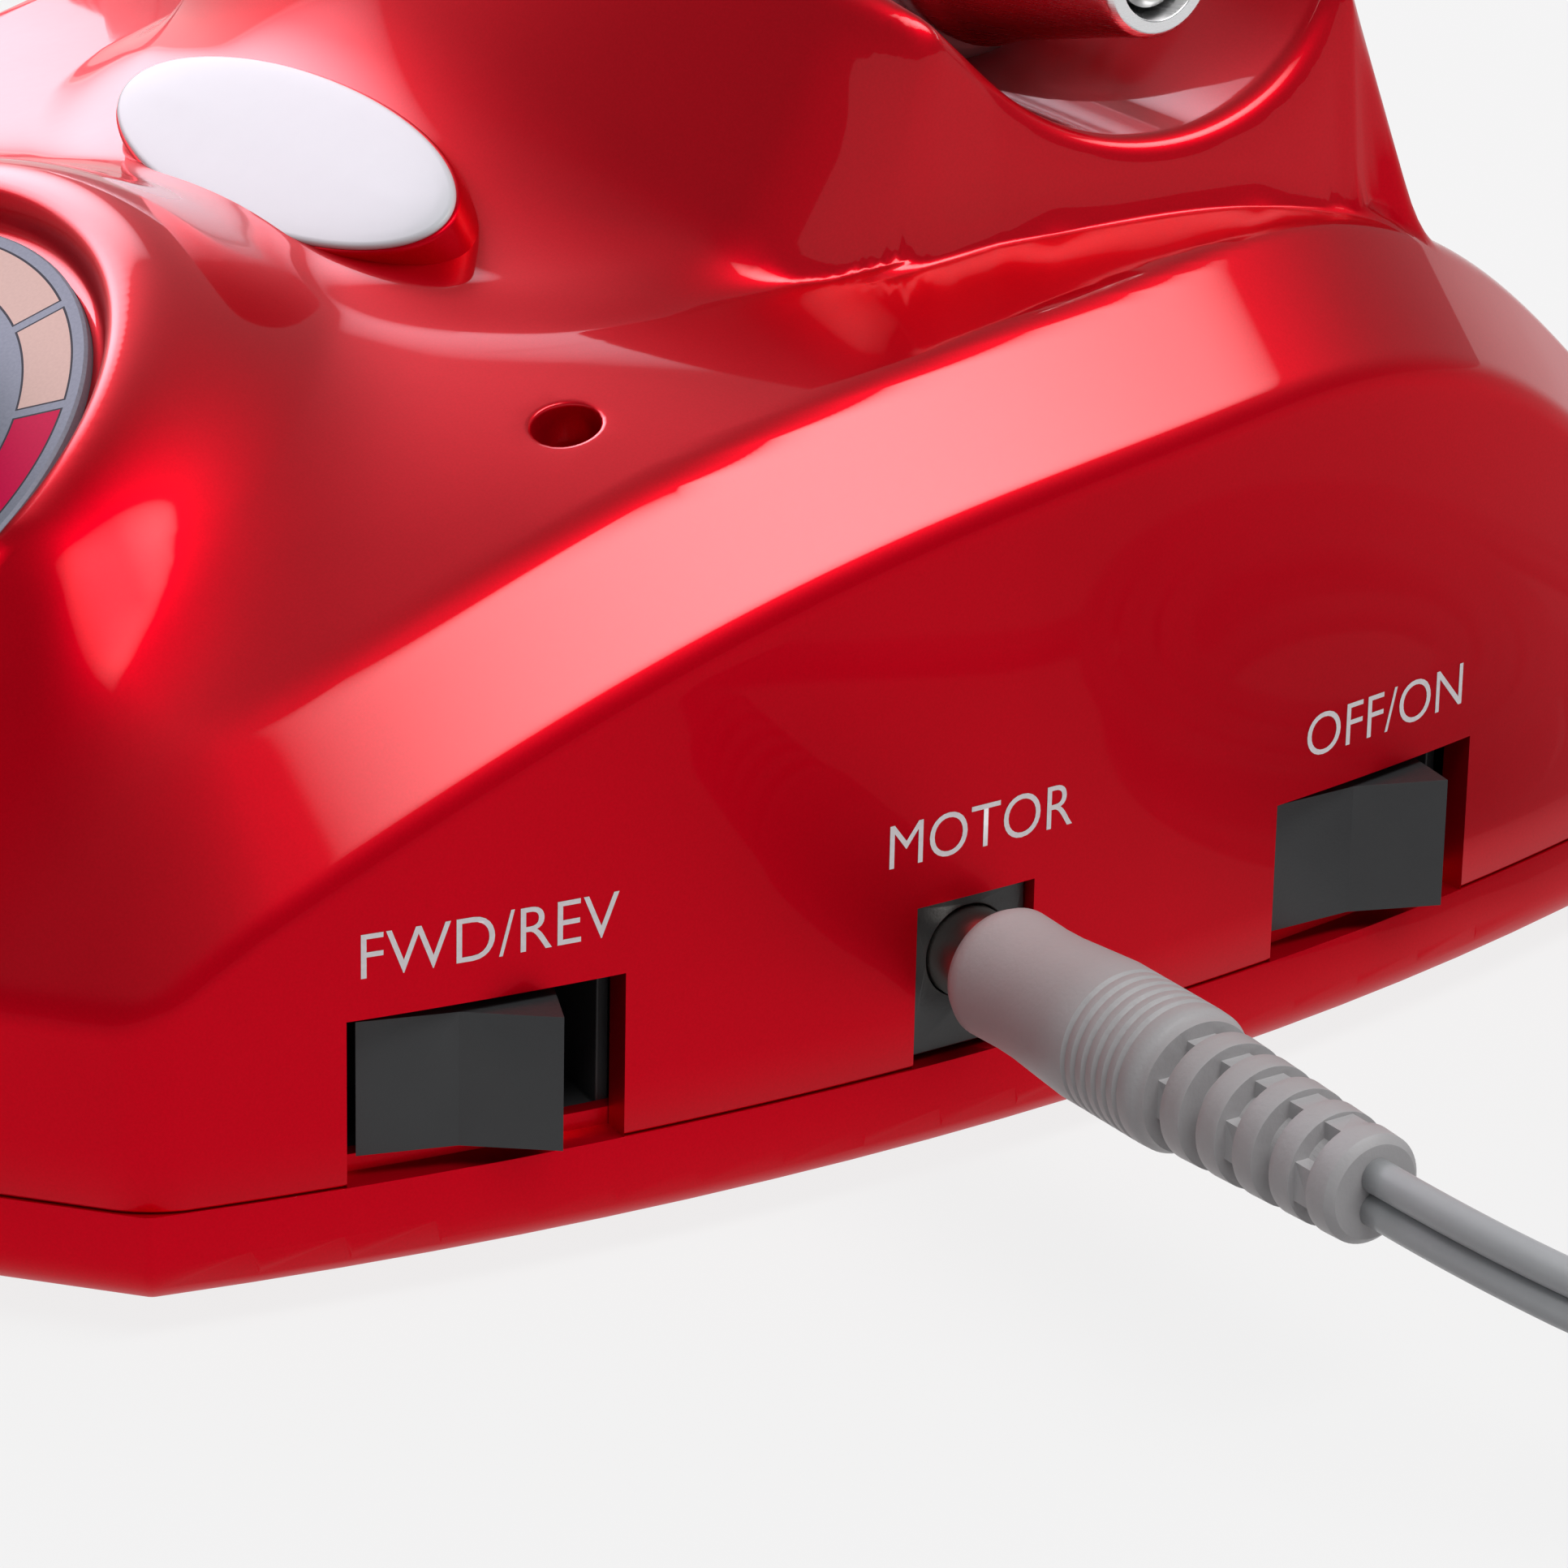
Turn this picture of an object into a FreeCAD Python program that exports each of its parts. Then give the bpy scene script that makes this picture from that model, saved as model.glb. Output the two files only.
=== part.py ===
"""Electric nail drill: a table-top control unit with its handpiece lying in the cradle on top.

Frame: millimetres, +Z up, z = 0 is the table under the rubber feet. The user sits at -Y and looks towards +Y.
+X is the user's right, where the two rocker switches and the socket of the handpiece cord are.
The casing is symmetric about x = 0, apart from the openings in its right side and in its rear wall.
"""
import FreeCAD, Part
import math
import os
from types import SimpleNamespace

import Sketcher
from FreeCAD import Placement, Rotation, Vector

SIZES = {
    # plan outline of the casing at its seam
    "nose_reach": 82.5,
    "rear_reach": 82.5,
    "corner_across": 50.0,
    "corner_setback": 30.7,
    "facet_angle": 38.0,
    "side_entry_angle": 16.4,
    "side_radius": 235.0,
    "rear_radius": 250.0,
    "rear_corner_radius": 12.0,
    "front_corner_radius": 1.5,
    # casing heights and walls
    "foot_height": 2.0,
    "seam_height": 8.8,
    "casing_wall": 2.2,
    "floor_thickness": 2.2,
    "bottom_rounding": 3.5,
    "rim_width": 3.4,
    "rim_step": 1.2,
    "rim_clearance": 0.1,
    "band_width": 8.5,
    "band_drop": 8.0,
    "skirt_height": 21.5,
    "front_band_slope": 1.46,
    # crater of the speed dial, measured along and from its leaning axis
    "dial_reach": 51.2,
    "dial_height": 42.2,
    "dial_lean": 28.7,
    "dial_plate_radius": 24.75,
    "dial_plate_thickness": 1.0,
    "moat_radius": 27.2,
    "moat_depth": 2.0,
    "crater_crest_radius": 28.4,
    "crater_crest_height": 1.8,
    "crater_foot_radius": 35.0,
    "crater_foot_drop": 6.0,
    "dial_floor_thickness": 2.5,
    # speed knob and its potentiometer
    "knob_radius": 17.0,
    "knob_height": 16.0,
    "knob_gap": 0.4,
    "knob_flute_count": 18,
    "knob_flute_radius": 1.1,
    "pot_shaft_radius": 3.0,
    "pot_shaft_length": 14.0,
    "pot_bush_radius": 3.5,
    "pot_bush_length": 7.5,
    "pot_body_radius": 8.5,
    "pot_body_depth": 11.0,
    "pot_nut_radius": 5.5,
    "pot_nut_thickness": 2.0,
    "running_fit": 0.05,
    # oval badge plate and its raised seat
    "badge_reach": 9.3,
    "badge_height": 57.2,
    "badge_lean": 31.6,
    "badge_half_length": 19.1,
    "badge_half_width": 6.5,
    "badge_thickness": 1.6,
    "badge_seat_margin": 0.35,
    # lamp beside the badge
    "lamp_across": 40.3,
    "lamp_reach": 14.0,
    "lamp_height": 49.6,
    "lamp_hole_radius": 2.3,
    "lamp_boss_radius": 4.2,
    "lamp_boss_depth": 7.0,
    # saddle that carries the handpiece
    "sweep_radius": 26.0,
    "sweep_bend_reach": 0.9,
    "sweep_start_height": 52.4,
    "sweep_end_rise": 2.0,
    "sweep_fade": 0.85,
    "sweep_start_slope": 17.0,
    "sweep_end_slope": 65.0,
    "crest_height": 79.0,
    "ramp_slope": 45.0,
    "cradle_radius": 14.5,
    "cradle_reach": 31.0,
    "cradle_floor": 62.5,
    "horn_height": 72.5,
    "horn_reach": 46.0,
    "saddle_back_reach": 54.0,
    "saddle_bow": 7.0,
    "saddle_half_width": 41.0,
    "saddle_corner_reach": 4.0,
    "saddle_nose_reach": 24.0,
    "saddle_lean_height": 56.0,
    "crest_cut": 3.4,
    "saddle_flare": 0.16,
    "saddle_end_lean": 6.0,
    "saddle_base": 44.0,
    "saddle_corner_radius": 9.0,
    # openings in the right side, at their distance along the side from the front corner
    "opening_height": 11.4,
    "reverse_switch_along": 22.4,
    "power_switch_along": 93.2,
    "switch_opening_length": 19.0,
    "jack_along": 58.05,
    "jack_opening_length": 9.3,
    # rocker switches
    "rocker_half_length": 6.5,
    "rocker_height": 9.2,
    "rocker_middle_height": 14.9,
    "rocker_valley": 5.5,
    "rocker_horn": 6.7,
    "rocker_root": 2.2,
    "rocker_pivot_depth": 5.5,
    "rocker_tilt": 20.0,
    "rocker_pin_radius": 0.95,
    "rocker_pin_length": 1.3,
    "switch_setback": 3.6,
    "switch_depth": 9.6,
    "switch_inside_half_length": 9.0,
    "switch_inside_height": 10.4,
    "switch_wall": 0.9,
    # socket and plug of the handpiece cord
    "jack_setback": 0.9,
    "jack_width": 9.0,
    "jack_height": 10.6,
    "jack_depth": 13.0,
    "jack_bore_radius": 3.2,
    "jack_bore_depth": 10.0,
    "jack_bore_height": 15.9,
    "jack_pin_radius": 1.0,
    "plug_barrel_radius": 2.75,
    "plug_bore_radius": 1.05,
    "plug_barrel_length": 9.0,
    "plug_collar_radius": 3.1,
    "plug_front": 2.4,
    "plug_end": 41.6,
    "plug_dome_radius": 4.5,
    "plug_waist_radius": 4.35,
    "plug_belly_radius": 4.9,
    "plug_ring_start": 16.0,
    "plug_ring_pitch": 1.08,
    "plug_ring_count": 6,
    "plug_ring_depth": 0.3,
    "plug_slot_start": 24.0,
    "plug_slot_pitch": 3.45,
    "plug_slot_count": 5,
    "plug_slot_width": 1.65,
    "plug_tail_radius": 3.6,
    "plug_core_radius": 2.6,
    "cord_diameter": 4.0,
    "cord_end_gap": 0.3,
    "coil_across": 97.0,
    "coil_behind": 84.0,
    "coil_radius": 31.3,
    "coil_pitch": 5.3,
    "coil_layer_gap": 0.5,
    "coil_half_turns": 6,
    # handpiece, measured from its nose face towards its tail
    "handpiece_nose": 43.6,
    "handpiece_rest_gap": 0.3,
    "handpiece_radius": 11.0,
    "nose_tip_radius": 4.5,
    "nose_length": 18.6,
    "nose_shoulder_radius": 9.0,
    "lock_ring_length": 15.4,
    "handpiece_seam": 0.2,
    "housing_length": 84.0,
    "housing_tail_radius": 9.6,
    "housing_wall": 1.6,
    "housing_spigot": 8.0,
    "rear_cap_length": 14.0,
    "rear_cap_radius": 7.5,
    "relief_length": 17.0,
    "relief_radius": 3.6,
    "relief_tip_radius": 2.7,
    "relief_rib_count": 5,
    "spindle_radius": 2.6,
    "shank_radius": 1.19,
    "shank_depth": 20.0,
    "bearing_outer_radius": 6.0,
    "bearing_width": 5.0,
    "motor_radius": 8.6,
    "motor_length": 50.0,
    # feet and casing screws
    "foot_radius": 6.0,
    "foot_sink": 0.8,
    "front_foot_across": 28.0,
    "front_foot_reach": 52.0,
    "rear_foot_across": 38.0,
    "rear_foot_reach": 60.0,
    "front_boss_across": 38.0,
    "front_boss_reach": 41.0,
    "rear_boss_across": 13.5,
    "rear_boss_reach": 66.0,
    "boss_radius": 3.6,
    "boss_joint_height": 14.0,
    "screw_radius": 1.4,
    "screw_head_radius": 2.7,
    "screw_head_height": 1.8,
    "screw_length": 16.0,
    # circuit board with what stands on it
    "board_length": 60.0,
    "board_width": 40.0,
    "board_thickness": 1.6,
    "board_reach": 30.0,
    "board_height": 10.0,
    "board_hole_inset": 4.0,
    "board_post_radius": 3.0,
    "board_screw_length": 7.0,
    "capacitor_radius": 5.0,
    "capacitor_height": 14.0,
    "capacitor_across": 18.0,
    "sink_length": 26.0,
    "sink_height": 16.0,
    "sink_plate": 2.0,
    "sink_fin_depth": 8.0,
    "sink_fin_thickness": 1.0,
    "sink_fin_count": 6,
    "transistor_width": 10.0,
    "transistor_height": 9.0,
    "transistor_thickness": 4.5,
    # transformer
    "core_length": 42.0,
    "core_thickness": 18.0,
    "core_height": 35.0,
    "core_limb": 7.0,
    "core_across": 23.5,
    "core_reach": 32.0,
    "winding_gap": 0.2,
    "winding_overhang": 6.0,
    "bracket_thickness": 1.2,
    "bracket_foot": 9.0,
    # rear wall fittings
    "inlet_across": 30.0,
    "rear_fitting_height": 16.5,
    "inlet_half_length": 9.0,
    "inlet_height": 10.0,
    "inlet_depth": 15.0,
    "inlet_cavity_margin": 1.6,
    "inlet_flange": 1.5,
    "inlet_pin_radius": 1.15,
    "inlet_pin_spacing": 8.0,
    "inlet_pin_length": 9.0,
    "fuse_across": 0.0,
    "fuse_radius": 5.0,
    "fuse_flange_radius": 6.3,
    "fuse_depth": 24.0,
    "fuse_cap_radius": 4.0,
    "fuse_cap_length": 4.0,
    "pedal_jack_across": 28.0,
    "pedal_bore_radius": 3.2,
    "pedal_bore_depth": 16.0,
    "pedal_bush_radius": 4.5,
    "pedal_nut_radius": 6.2,
    "pedal_nut_thickness": 2.0,
    "pedal_body": 10.0,
    "pedal_seat_gap": 2.2,
}

# shoulder line of the casing: distance behind x = y = 0, height of the shoulder, rise of the top above it at x = 0
DECK = (
    (-96.0, 4.0, 13.0),
    (-64.0, 23.2, 12.8),
    (-36.0, 39.6, 9.0),
    (-10.0, 50.4, 3.6),
    (24.0, 56.3, 1.6),
)
# the same for the stretch that falls to the rear wall, with the distance measured behind the rear reach
REAR_DECK = (
    (-34.5, 54.6, 1.5),
    (-16.5, 42.8, 1.5),
    (-4.0, 31.6, 1.4),
    (15.5, 14.0, 1.2),
)


class Size:
    """A length in millimetres or an angle in degrees, with the sheet formula that gives it."""

    def __init__(self, value, formula):
        self.value = float(value)
        self.formula = formula

    def __float__(self):
        return self.value

    def __str__(self):
        return self.formula

    def __neg__(self):
        return Size(-self.value, f"(0 - {self})")

    def __add__(self, other):
        return Size(self.value + float(other), f"({self} + {other})")

    def __radd__(self, other):
        return Size(float(other) + self.value, f"({other} + {self})")

    def __sub__(self, other):
        return Size(self.value - float(other), f"({self} - {other})")

    def __rsub__(self, other):
        return Size(float(other) - self.value, f"({other} - {self})")

    def __mul__(self, other):
        return Size(self.value * float(other), f"({self} * {other})")

    def __rmul__(self, other):
        return Size(float(other) * self.value, f"({other} * {self})")

    def __truediv__(self, other):
        return Size(self.value / float(other), f"({self} / {other})")


class SizeSheet:
    """The driving dimensions: a spreadsheet of the document whose aliases are read as attributes."""

    def __init__(self, document):
        self.sheet = document.addObject("Spreadsheet::Sheet", "sizes")
        for row, (alias, value) in enumerate(SIZES.items(), start=1):
            self.sheet.set(f"A{row}", alias)
            self.sheet.set(f"B{row}", str(value))
            self.sheet.setAlias(f"B{row}", alias)
        document.recompute()

    def __getattr__(self, alias):
        return Size(SIZES[alias], f"sizes.{alias}")


doc = FreeCAD.newDocument("nail_drill")
s = SizeSheet(doc)
mm = SimpleNamespace(**SIZES)
nodes = []


# helpers that make bound objects


def node(obj):
    """Mark an object as a physical piece: its label names its file."""
    nodes.append(obj)
    return obj


def bind(obj, prop, size):
    """Tie a property to a formula of the sheet."""
    obj.setExpression(prop, f"{size}")


def place(obj, x=0, y=0, z=0, turn=None):
    """Put an object at a bound position."""
    obj.Placement = Placement(Vector(float(x), float(y), float(z)), turn or Rotation())
    for axis, size in zip("xyz", (x, y, z)):
        if isinstance(size, Size):
            bind(obj, f"Placement.Base.{axis}", size)
    return obj


def seat(obj, frame):
    """Carry an object that was made about the origin into a frame of the product."""
    obj.Placement = frame
    return obj


def box(name, length, width, height, x, y, z, turn=None):
    """A block from its low corner."""
    obj = doc.addObject("Part::Box", name)
    for prop, size in (("Length", length), ("Width", width), ("Height", height)):
        bind(obj, prop, size)
    return place(obj, x, y, z, turn)


def rod(name, radius, height, x, y, z, turn=None):
    """A cylinder from the centre of its lower end."""
    obj = doc.addObject("Part::Cylinder", name)
    bind(obj, "Radius", radius)
    bind(obj, "Height", height)
    return place(obj, x, y, z, turn)


def fused(name, *parts):
    obj = doc.addObject("Part::MultiFuse", name)
    obj.Shapes = list(parts)
    return obj


def together(name, *parts):
    """Separate solids that are counted as one piece, such as a set of equal screws."""
    obj = doc.addObject("Part::Compound", name)
    obj.Links = list(parts)
    return obj


def cut(name, base, *tools):
    obj = doc.addObject("Part::Cut", name)
    obj.Base = base
    obj.Tool = tools[0] if len(tools) == 1 else fused(f"{name}_tools", *tools)
    return obj


def common(name, *parts):
    obj = doc.addObject("Part::MultiCommon", name)
    obj.Shapes = list(parts)
    return obj


def solid(name, shape, placement=None):
    """A form that needs the geometry kernel's own functions."""
    obj = doc.addObject("Part::Feature", name)
    obj.Shape = shape
    if placement is not None:
        obj.Placement = placement
    return obj


def rounded(name, base, radius, picks):
    """Fillet the edges of a solid that a test picks."""
    doc.recompute()
    obj = doc.addObject("Part::Fillet", name)
    obj.Base = base
    edges = [i for i, edge in enumerate(base.Shape.Edges, start=1) if picks(edge)]
    obj.Edges = [(i, float(radius), float(radius)) for i in edges]
    return obj


def profile(body, name, role, corners):
    """A closed outline of straight lines on an origin plane, with every corner tied to the sheet."""
    sketch = body.newObject("Sketcher::SketchObject", name)
    plane = next(f for f in body.Origin.OriginFeatures if f.Role == role)
    sketch.AttachmentSupport = [(plane, "")]
    sketch.MapMode = "FlatFace"
    spots = [Vector(float(across), float(up), 0) for across, up in corners]
    for i, spot in enumerate(spots):
        sketch.addGeometry(Part.LineSegment(spot, spots[(i + 1) % len(spots)]), False)
    for i in range(len(spots)):
        sketch.addConstraint(Sketcher.Constraint("Coincident", i, 2, (i + 1) % len(spots), 1))
    for i, (across, up) in enumerate(corners):
        for kind, size, axis in (("DistanceX", across, -2), ("DistanceY", up, -1)):
            if abs(float(size)) < 1e-9:
                sketch.addConstraint(Sketcher.Constraint("PointOnObject", i, 1, axis))
            else:
                index = sketch.addConstraint(Sketcher.Constraint(kind, -1, 1, i, 1, float(size)))
                if isinstance(size, Size):
                    bind(sketch, f"Constraints[{index}]", size)
    return sketch


def turned(name, corners, x=0, y=0, z=0, turn=None):
    """A piece turned on a lathe: an outline of (radius, distance along the axis) about the body's own Z."""
    body = doc.addObject("PartDesign::Body", name)
    sketch = profile(body, f"{name}_profile", "XZ_Plane", corners)
    revolution = body.newObject("PartDesign::Revolution", f"{name}_turning")
    revolution.Profile = sketch
    revolution.ReferenceAxis = (sketch, ["V_Axis"])
    revolution.Angle = 360
    sketch.Visibility = False
    return place(body, x, y, z, turn)


def pressed(name, corners, height, x=0, y=0, z=0, turn=None):
    """A piece of constant section: an outline in its own XY plane, raised by a height."""
    body = doc.addObject("PartDesign::Body", name)
    sketch = profile(body, f"{name}_profile", "XY_Plane", corners)
    pad = body.newObject("PartDesign::Pad", f"{name}_pad")
    pad.Profile = sketch
    bind(pad, "Length", height)
    return place(body, x, y, z, turn)


# plan geometry of the casing


def flip(point):
    """The same point on the other side of x = 0."""
    return Vector(-point.x, point.y, point.z)


def ray(angle):
    """A unit vector in plan at an angle from +X."""
    return Vector(math.cos(math.radians(angle)), math.sin(math.radians(angle)), 0)


facet_way = ray(mm.facet_angle)
front_corner = Vector(mm.corner_across, mm.corner_setback - mm.nose_reach, 0)
side_centre = front_corner - ray(-mm.side_entry_angle) * mm.side_radius
rear_centre = Vector(0, mm.rear_reach - mm.rear_radius, 0)
facet_foot = front_corner.y - front_corner.x * facet_way.y / facet_way.x
nose_radius = (-mm.nose_reach - facet_foot) / (1 / facet_way.x - 1)
nose_centre = Vector(0, nose_radius - mm.nose_reach, 0)


def crossing(centre_a, radius_a, centre_b, radius_b):
    """Where two plan circles meet, on the side of positive x."""
    line = centre_b - centre_a
    apart = line.Length
    along = (radius_a**2 - radius_b**2 + apart**2) / (2 * apart)
    off = math.sqrt(radius_a**2 - along**2)
    line.normalize()
    middle = centre_a + line * along
    across = Vector(-line.y, line.x, 0) * off
    return max(middle + across, middle - across, key=lambda point: point.x)


def front_tangent(inset):
    """Where the nose arc runs into the facet."""
    return nose_centre + Vector(facet_way.y, -facet_way.x, 0) * (nose_radius - inset)


def corners_in_plan(inset):
    """Front and rear corner of the outline moved inwards."""
    start = front_tangent(inset)
    reach = start - side_centre
    along = reach.dot(facet_way)
    room = along**2 - reach.Length**2 + (mm.side_radius - inset) ** 2
    front = start + facet_way * (math.sqrt(room) - along)
    rear = crossing(side_centre, mm.side_radius - inset, rear_centre, mm.rear_radius - inset)
    return front, rear


def outline(inset, height):
    """The closed plan outline, moved inwards, at a height."""
    front, rear = corners_in_plan(inset)
    start = front_tangent(inset)
    middle = (front - side_centre).normalize() + (rear - side_centre).normalize()
    side = side_centre + middle.normalize() * (mm.side_radius - inset)
    nose = nose_centre - Vector(0, nose_radius - inset, 0)
    back = rear_centre + Vector(0, mm.rear_radius - inset, 0)
    edges = [
        Part.Arc(flip(start), nose, start).toShape(),
        Part.LineSegment(start, front).toShape(),
        Part.Arc(front, side, rear).toShape(),
        Part.Arc(rear, back, flip(rear)).toShape(),
        Part.Arc(flip(rear), flip(side), flip(front)).toShape(),
        Part.LineSegment(flip(front), flip(start)).toShape(),
    ]
    wire = Part.Wire(edges)
    wire.translate(Vector(0, 0, height))
    return wire


def upright(edge, spot):
    """Whether an edge stands on a spot of the plan or on its mirror image."""
    ends = [vertex.Point for vertex in edge.Vertexes]
    level = len(ends) == 2 and abs(ends[0].x - ends[1].x) + abs(ends[0].y - ends[1].y) < 1e-6
    return level and abs(abs(ends[0].x) - spot.x) + abs(ends[0].y - spot.y) < 1e-3


def column(inset, low, high):
    """The plan outline as a block with rounded corners, between two heights."""
    front, rear = corners_in_plan(inset)
    block = Part.Face(outline(inset, low)).extrude(Vector(0, 0, high - low))
    block = block.makeFillet(mm.rear_corner_radius - inset, [e for e in block.Edges if upright(e, rear)])
    return block.makeFillet(mm.front_corner_radius, [e for e in block.Edges if upright(e, front)])


def half_width(reach):
    """Distance of the side from x = 0."""
    return side_centre.x + math.sqrt(mm.side_radius**2 - (reach - side_centre.y) ** 2)


def side_frame(along, height):
    """Placement on the right side: local X runs rearwards, local Y inwards, local Z up."""
    heading = mm.side_entry_angle - math.degrees(along / mm.side_radius)
    outward = ray(-heading)
    spot = side_centre + outward * mm.side_radius + Vector(0, 0, height)
    return Placement(spot, Rotation(Vector(0, 0, 1), 90 - heading))


# the casing's outer and inner forms


def front_wedge(inset):
    """Everything behind and below the sloping front band."""

    def section(reach):
        height = mm.skirt_height + mm.front_band_slope * reach
        start = front_tangent(inset + reach)
        far = start + facet_way * ((2.6 * mm.corner_across - start.x) / facet_way.x)
        back = Vector(far.x, 2.5 * mm.rear_reach, 0)
        nose = nose_centre - Vector(0, nose_radius - inset - reach, 0)
        edges = [Part.Arc(flip(start), nose, start).toShape()]
        corners = [start, far, back, flip(back), flip(far), flip(start)]
        edges += [Part.LineSegment(a, b).toShape() for a, b in zip(corners, corners[1:])]
        wire = Part.Wire(edges)
        wire.translate(Vector(0, 0, height))
        return wire

    top = nose_radius - inset - 3
    return Part.makeLoft([section(-mm.skirt_height / mm.front_band_slope), section(top)], True, True)


def deck_tunnel(inset, drop):
    """Everything below the domed top and its sloping side bands."""

    def section(reach, shoulder, rise):
        across = half_width(reach) - inset - mm.band_width
        out = mm.band_width + 9
        low = shoulder - drop - out * mm.band_drop / mm.band_width
        shoulder_end = Vector(across, reach, shoulder - drop)
        band_end = Vector(across + out, reach, low)
        foot = Vector(across + out, reach, -30)
        top = Vector(0, reach, shoulder - drop + rise)
        edges = [Part.Arc(flip(shoulder_end), top, shoulder_end).toShape()]
        corners = [shoulder_end, band_end, foot, flip(foot), flip(band_end), flip(shoulder_end)]
        edges += [Part.LineSegment(a, b).toShape() for a, b in zip(corners, corners[1:])]
        return Part.Wire(edges)

    rear_stations = [(mm.rear_reach + behind, height, rise) for behind, height, rise in REAR_DECK]
    return Part.makeLoft([section(*station) for station in [*DECK, *rear_stations]], True, False)


dial_frame = Placement(Vector(0, -mm.dial_reach, mm.dial_height), Rotation(Vector(1, 0, 0), mm.dial_lean))
badge_frame = Placement(Vector(0, -mm.badge_reach, mm.badge_height), Rotation(Vector(1, 0, 0), mm.badge_lean))


def spun(corners, frame):
    """A solid of revolution about the Z axis of a frame, from (radius, height) corners."""
    points = [Vector(radius, 0, height) for radius, height in corners]
    face = Part.Face(Part.makePolygon(points + points[:1]))
    shape = face.revolve(Vector(0, 0, 0), Vector(0, 0, 1), 360)
    shape.Placement = frame
    return shape


def oval(half_length, half_height, low, high, frame):
    """An elliptic block about the Z axis of a frame."""
    curve = Part.Ellipse(Vector(0, 0, low), half_length, half_height).toShape()
    block = Part.Face(Part.Wire([curve])).extrude(Vector(0, 0, high - low))
    block.Placement = frame
    return block


def crater_mound():
    """The raised ring round the speed dial, closed over the dial."""
    corners = [
        (0, -mm.crater_foot_drop - 6),
        (mm.crater_foot_radius + 4, -mm.crater_foot_drop - 6),
        (mm.crater_foot_radius, -mm.crater_foot_drop),
        (mm.crater_crest_radius + 5.2, -2.4),
        (mm.crater_crest_radius + 2.6, 0.9),
        (mm.crater_crest_radius + 1.0, mm.crater_crest_height),
        (mm.crater_crest_radius - 0.4, mm.crater_crest_height),
        (mm.moat_radius, mm.crater_crest_height - 0.9),
        (mm.moat_radius, 0),
        (0, 0),
    ]
    return spun(corners, dial_frame)


def dial_hollow():
    """What the dial takes out of the casing: the seat of the plate, the moat and the shaft's hole."""
    seat = mm.dial_plate_radius + 0.25
    corners = [
        (0, -mm.dial_plate_thickness),
        (seat, -mm.dial_plate_thickness),
        (seat, -mm.moat_depth),
        (mm.moat_radius, -mm.moat_depth),
        (mm.moat_radius, mm.crater_crest_height - 0.9),
        (mm.crater_crest_radius - 0.4, mm.crater_crest_height),
        (mm.crater_crest_radius - 0.4, 30),
        (0, 30),
    ]
    return spun(corners, dial_frame)


# the saddle on top


def saddle_section(across):
    """The saddle's side view, drawn at one distance from x = 0."""
    share = min(abs(across) / mm.saddle_half_width, 1) ** 2
    low = math.radians(mm.sweep_start_slope)
    high = math.radians(mm.sweep_end_slope)
    run = mm.sweep_radius * (math.sin(high) - math.sin(low)) * (1 - mm.sweep_fade * share)
    radius = run / (math.sin(high) - math.sin(low))
    bend_reach = mm.sweep_bend_reach + mm.saddle_bow * share
    start_height = mm.sweep_start_height + mm.sweep_end_rise * share

    def on_sweep(angle):
        reach = radius * (math.sin(angle) - math.sin(high))
        rise = radius * (math.cos(low) - math.cos(angle))
        return Vector(across, bend_reach + reach, start_height + rise)

    start = on_sweep(low)
    bend = on_sweep(high)
    steep = math.tan(high)
    ramp = math.radians(mm.ramp_slope)
    cradle = Vector(across, mm.cradle_reach, mm.cradle_floor + mm.cradle_radius)
    ramp_end = cradle - Vector(0, math.sin(ramp), math.cos(ramp)) * mm.cradle_radius
    meeting = ramp_end.z + math.tan(ramp) * ramp_end.y - bend.z + steep * bend.y
    apex_reach = meeting / (steep + math.tan(ramp))
    apex = Vector(across, apex_reach, bend.z + steep * (apex_reach - bend.y))
    front_cut = apex - Vector(0, 1, steep).normalize() * mm.crest_cut
    rear_cut = apex + Vector(0, math.cos(ramp), -math.sin(ramp)) * mm.crest_cut
    chord = (front_cut + rear_cut) / 2
    crown = chord + (apex - chord) * 0.45
    horn_angle = math.acos((cradle.z - mm.horn_height) / mm.cradle_radius)
    horn = cradle + Vector(0, math.sin(horn_angle), -math.cos(horn_angle)) * mm.cradle_radius
    floor_spot = cradle - Vector(0, 0, mm.cradle_radius)
    horn_back = Vector(across, mm.horn_reach, mm.horn_height - 0.6)
    back_foot = Vector(across, mm.saddle_back_reach, mm.saddle_base)
    front_foot = start - Vector(0, 12, 12 * math.tan(low))
    front_base = Vector(across, front_foot.y, mm.saddle_base - 6)
    back_base = Vector(across, back_foot.y, mm.saddle_base - 6)
    return Part.Wire([
        Part.LineSegment(front_base, front_foot).toShape(),
        Part.LineSegment(front_foot, start).toShape(),
        Part.Arc(start, on_sweep((low + high) / 2), bend).toShape(),
        Part.LineSegment(bend, front_cut).toShape(),
        Part.Arc(front_cut, crown, rear_cut).toShape(),
        Part.LineSegment(rear_cut, ramp_end).toShape(),
        Part.Arc(ramp_end, floor_spot, horn).toShape(),
        Part.LineSegment(horn, horn_back).toShape(),
        Part.LineSegment(horn_back, back_foot).toShape(),
        Part.LineSegment(back_foot, back_base).toShape(),
        Part.LineSegment(back_base, front_base).toShape(),
    ])


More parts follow.
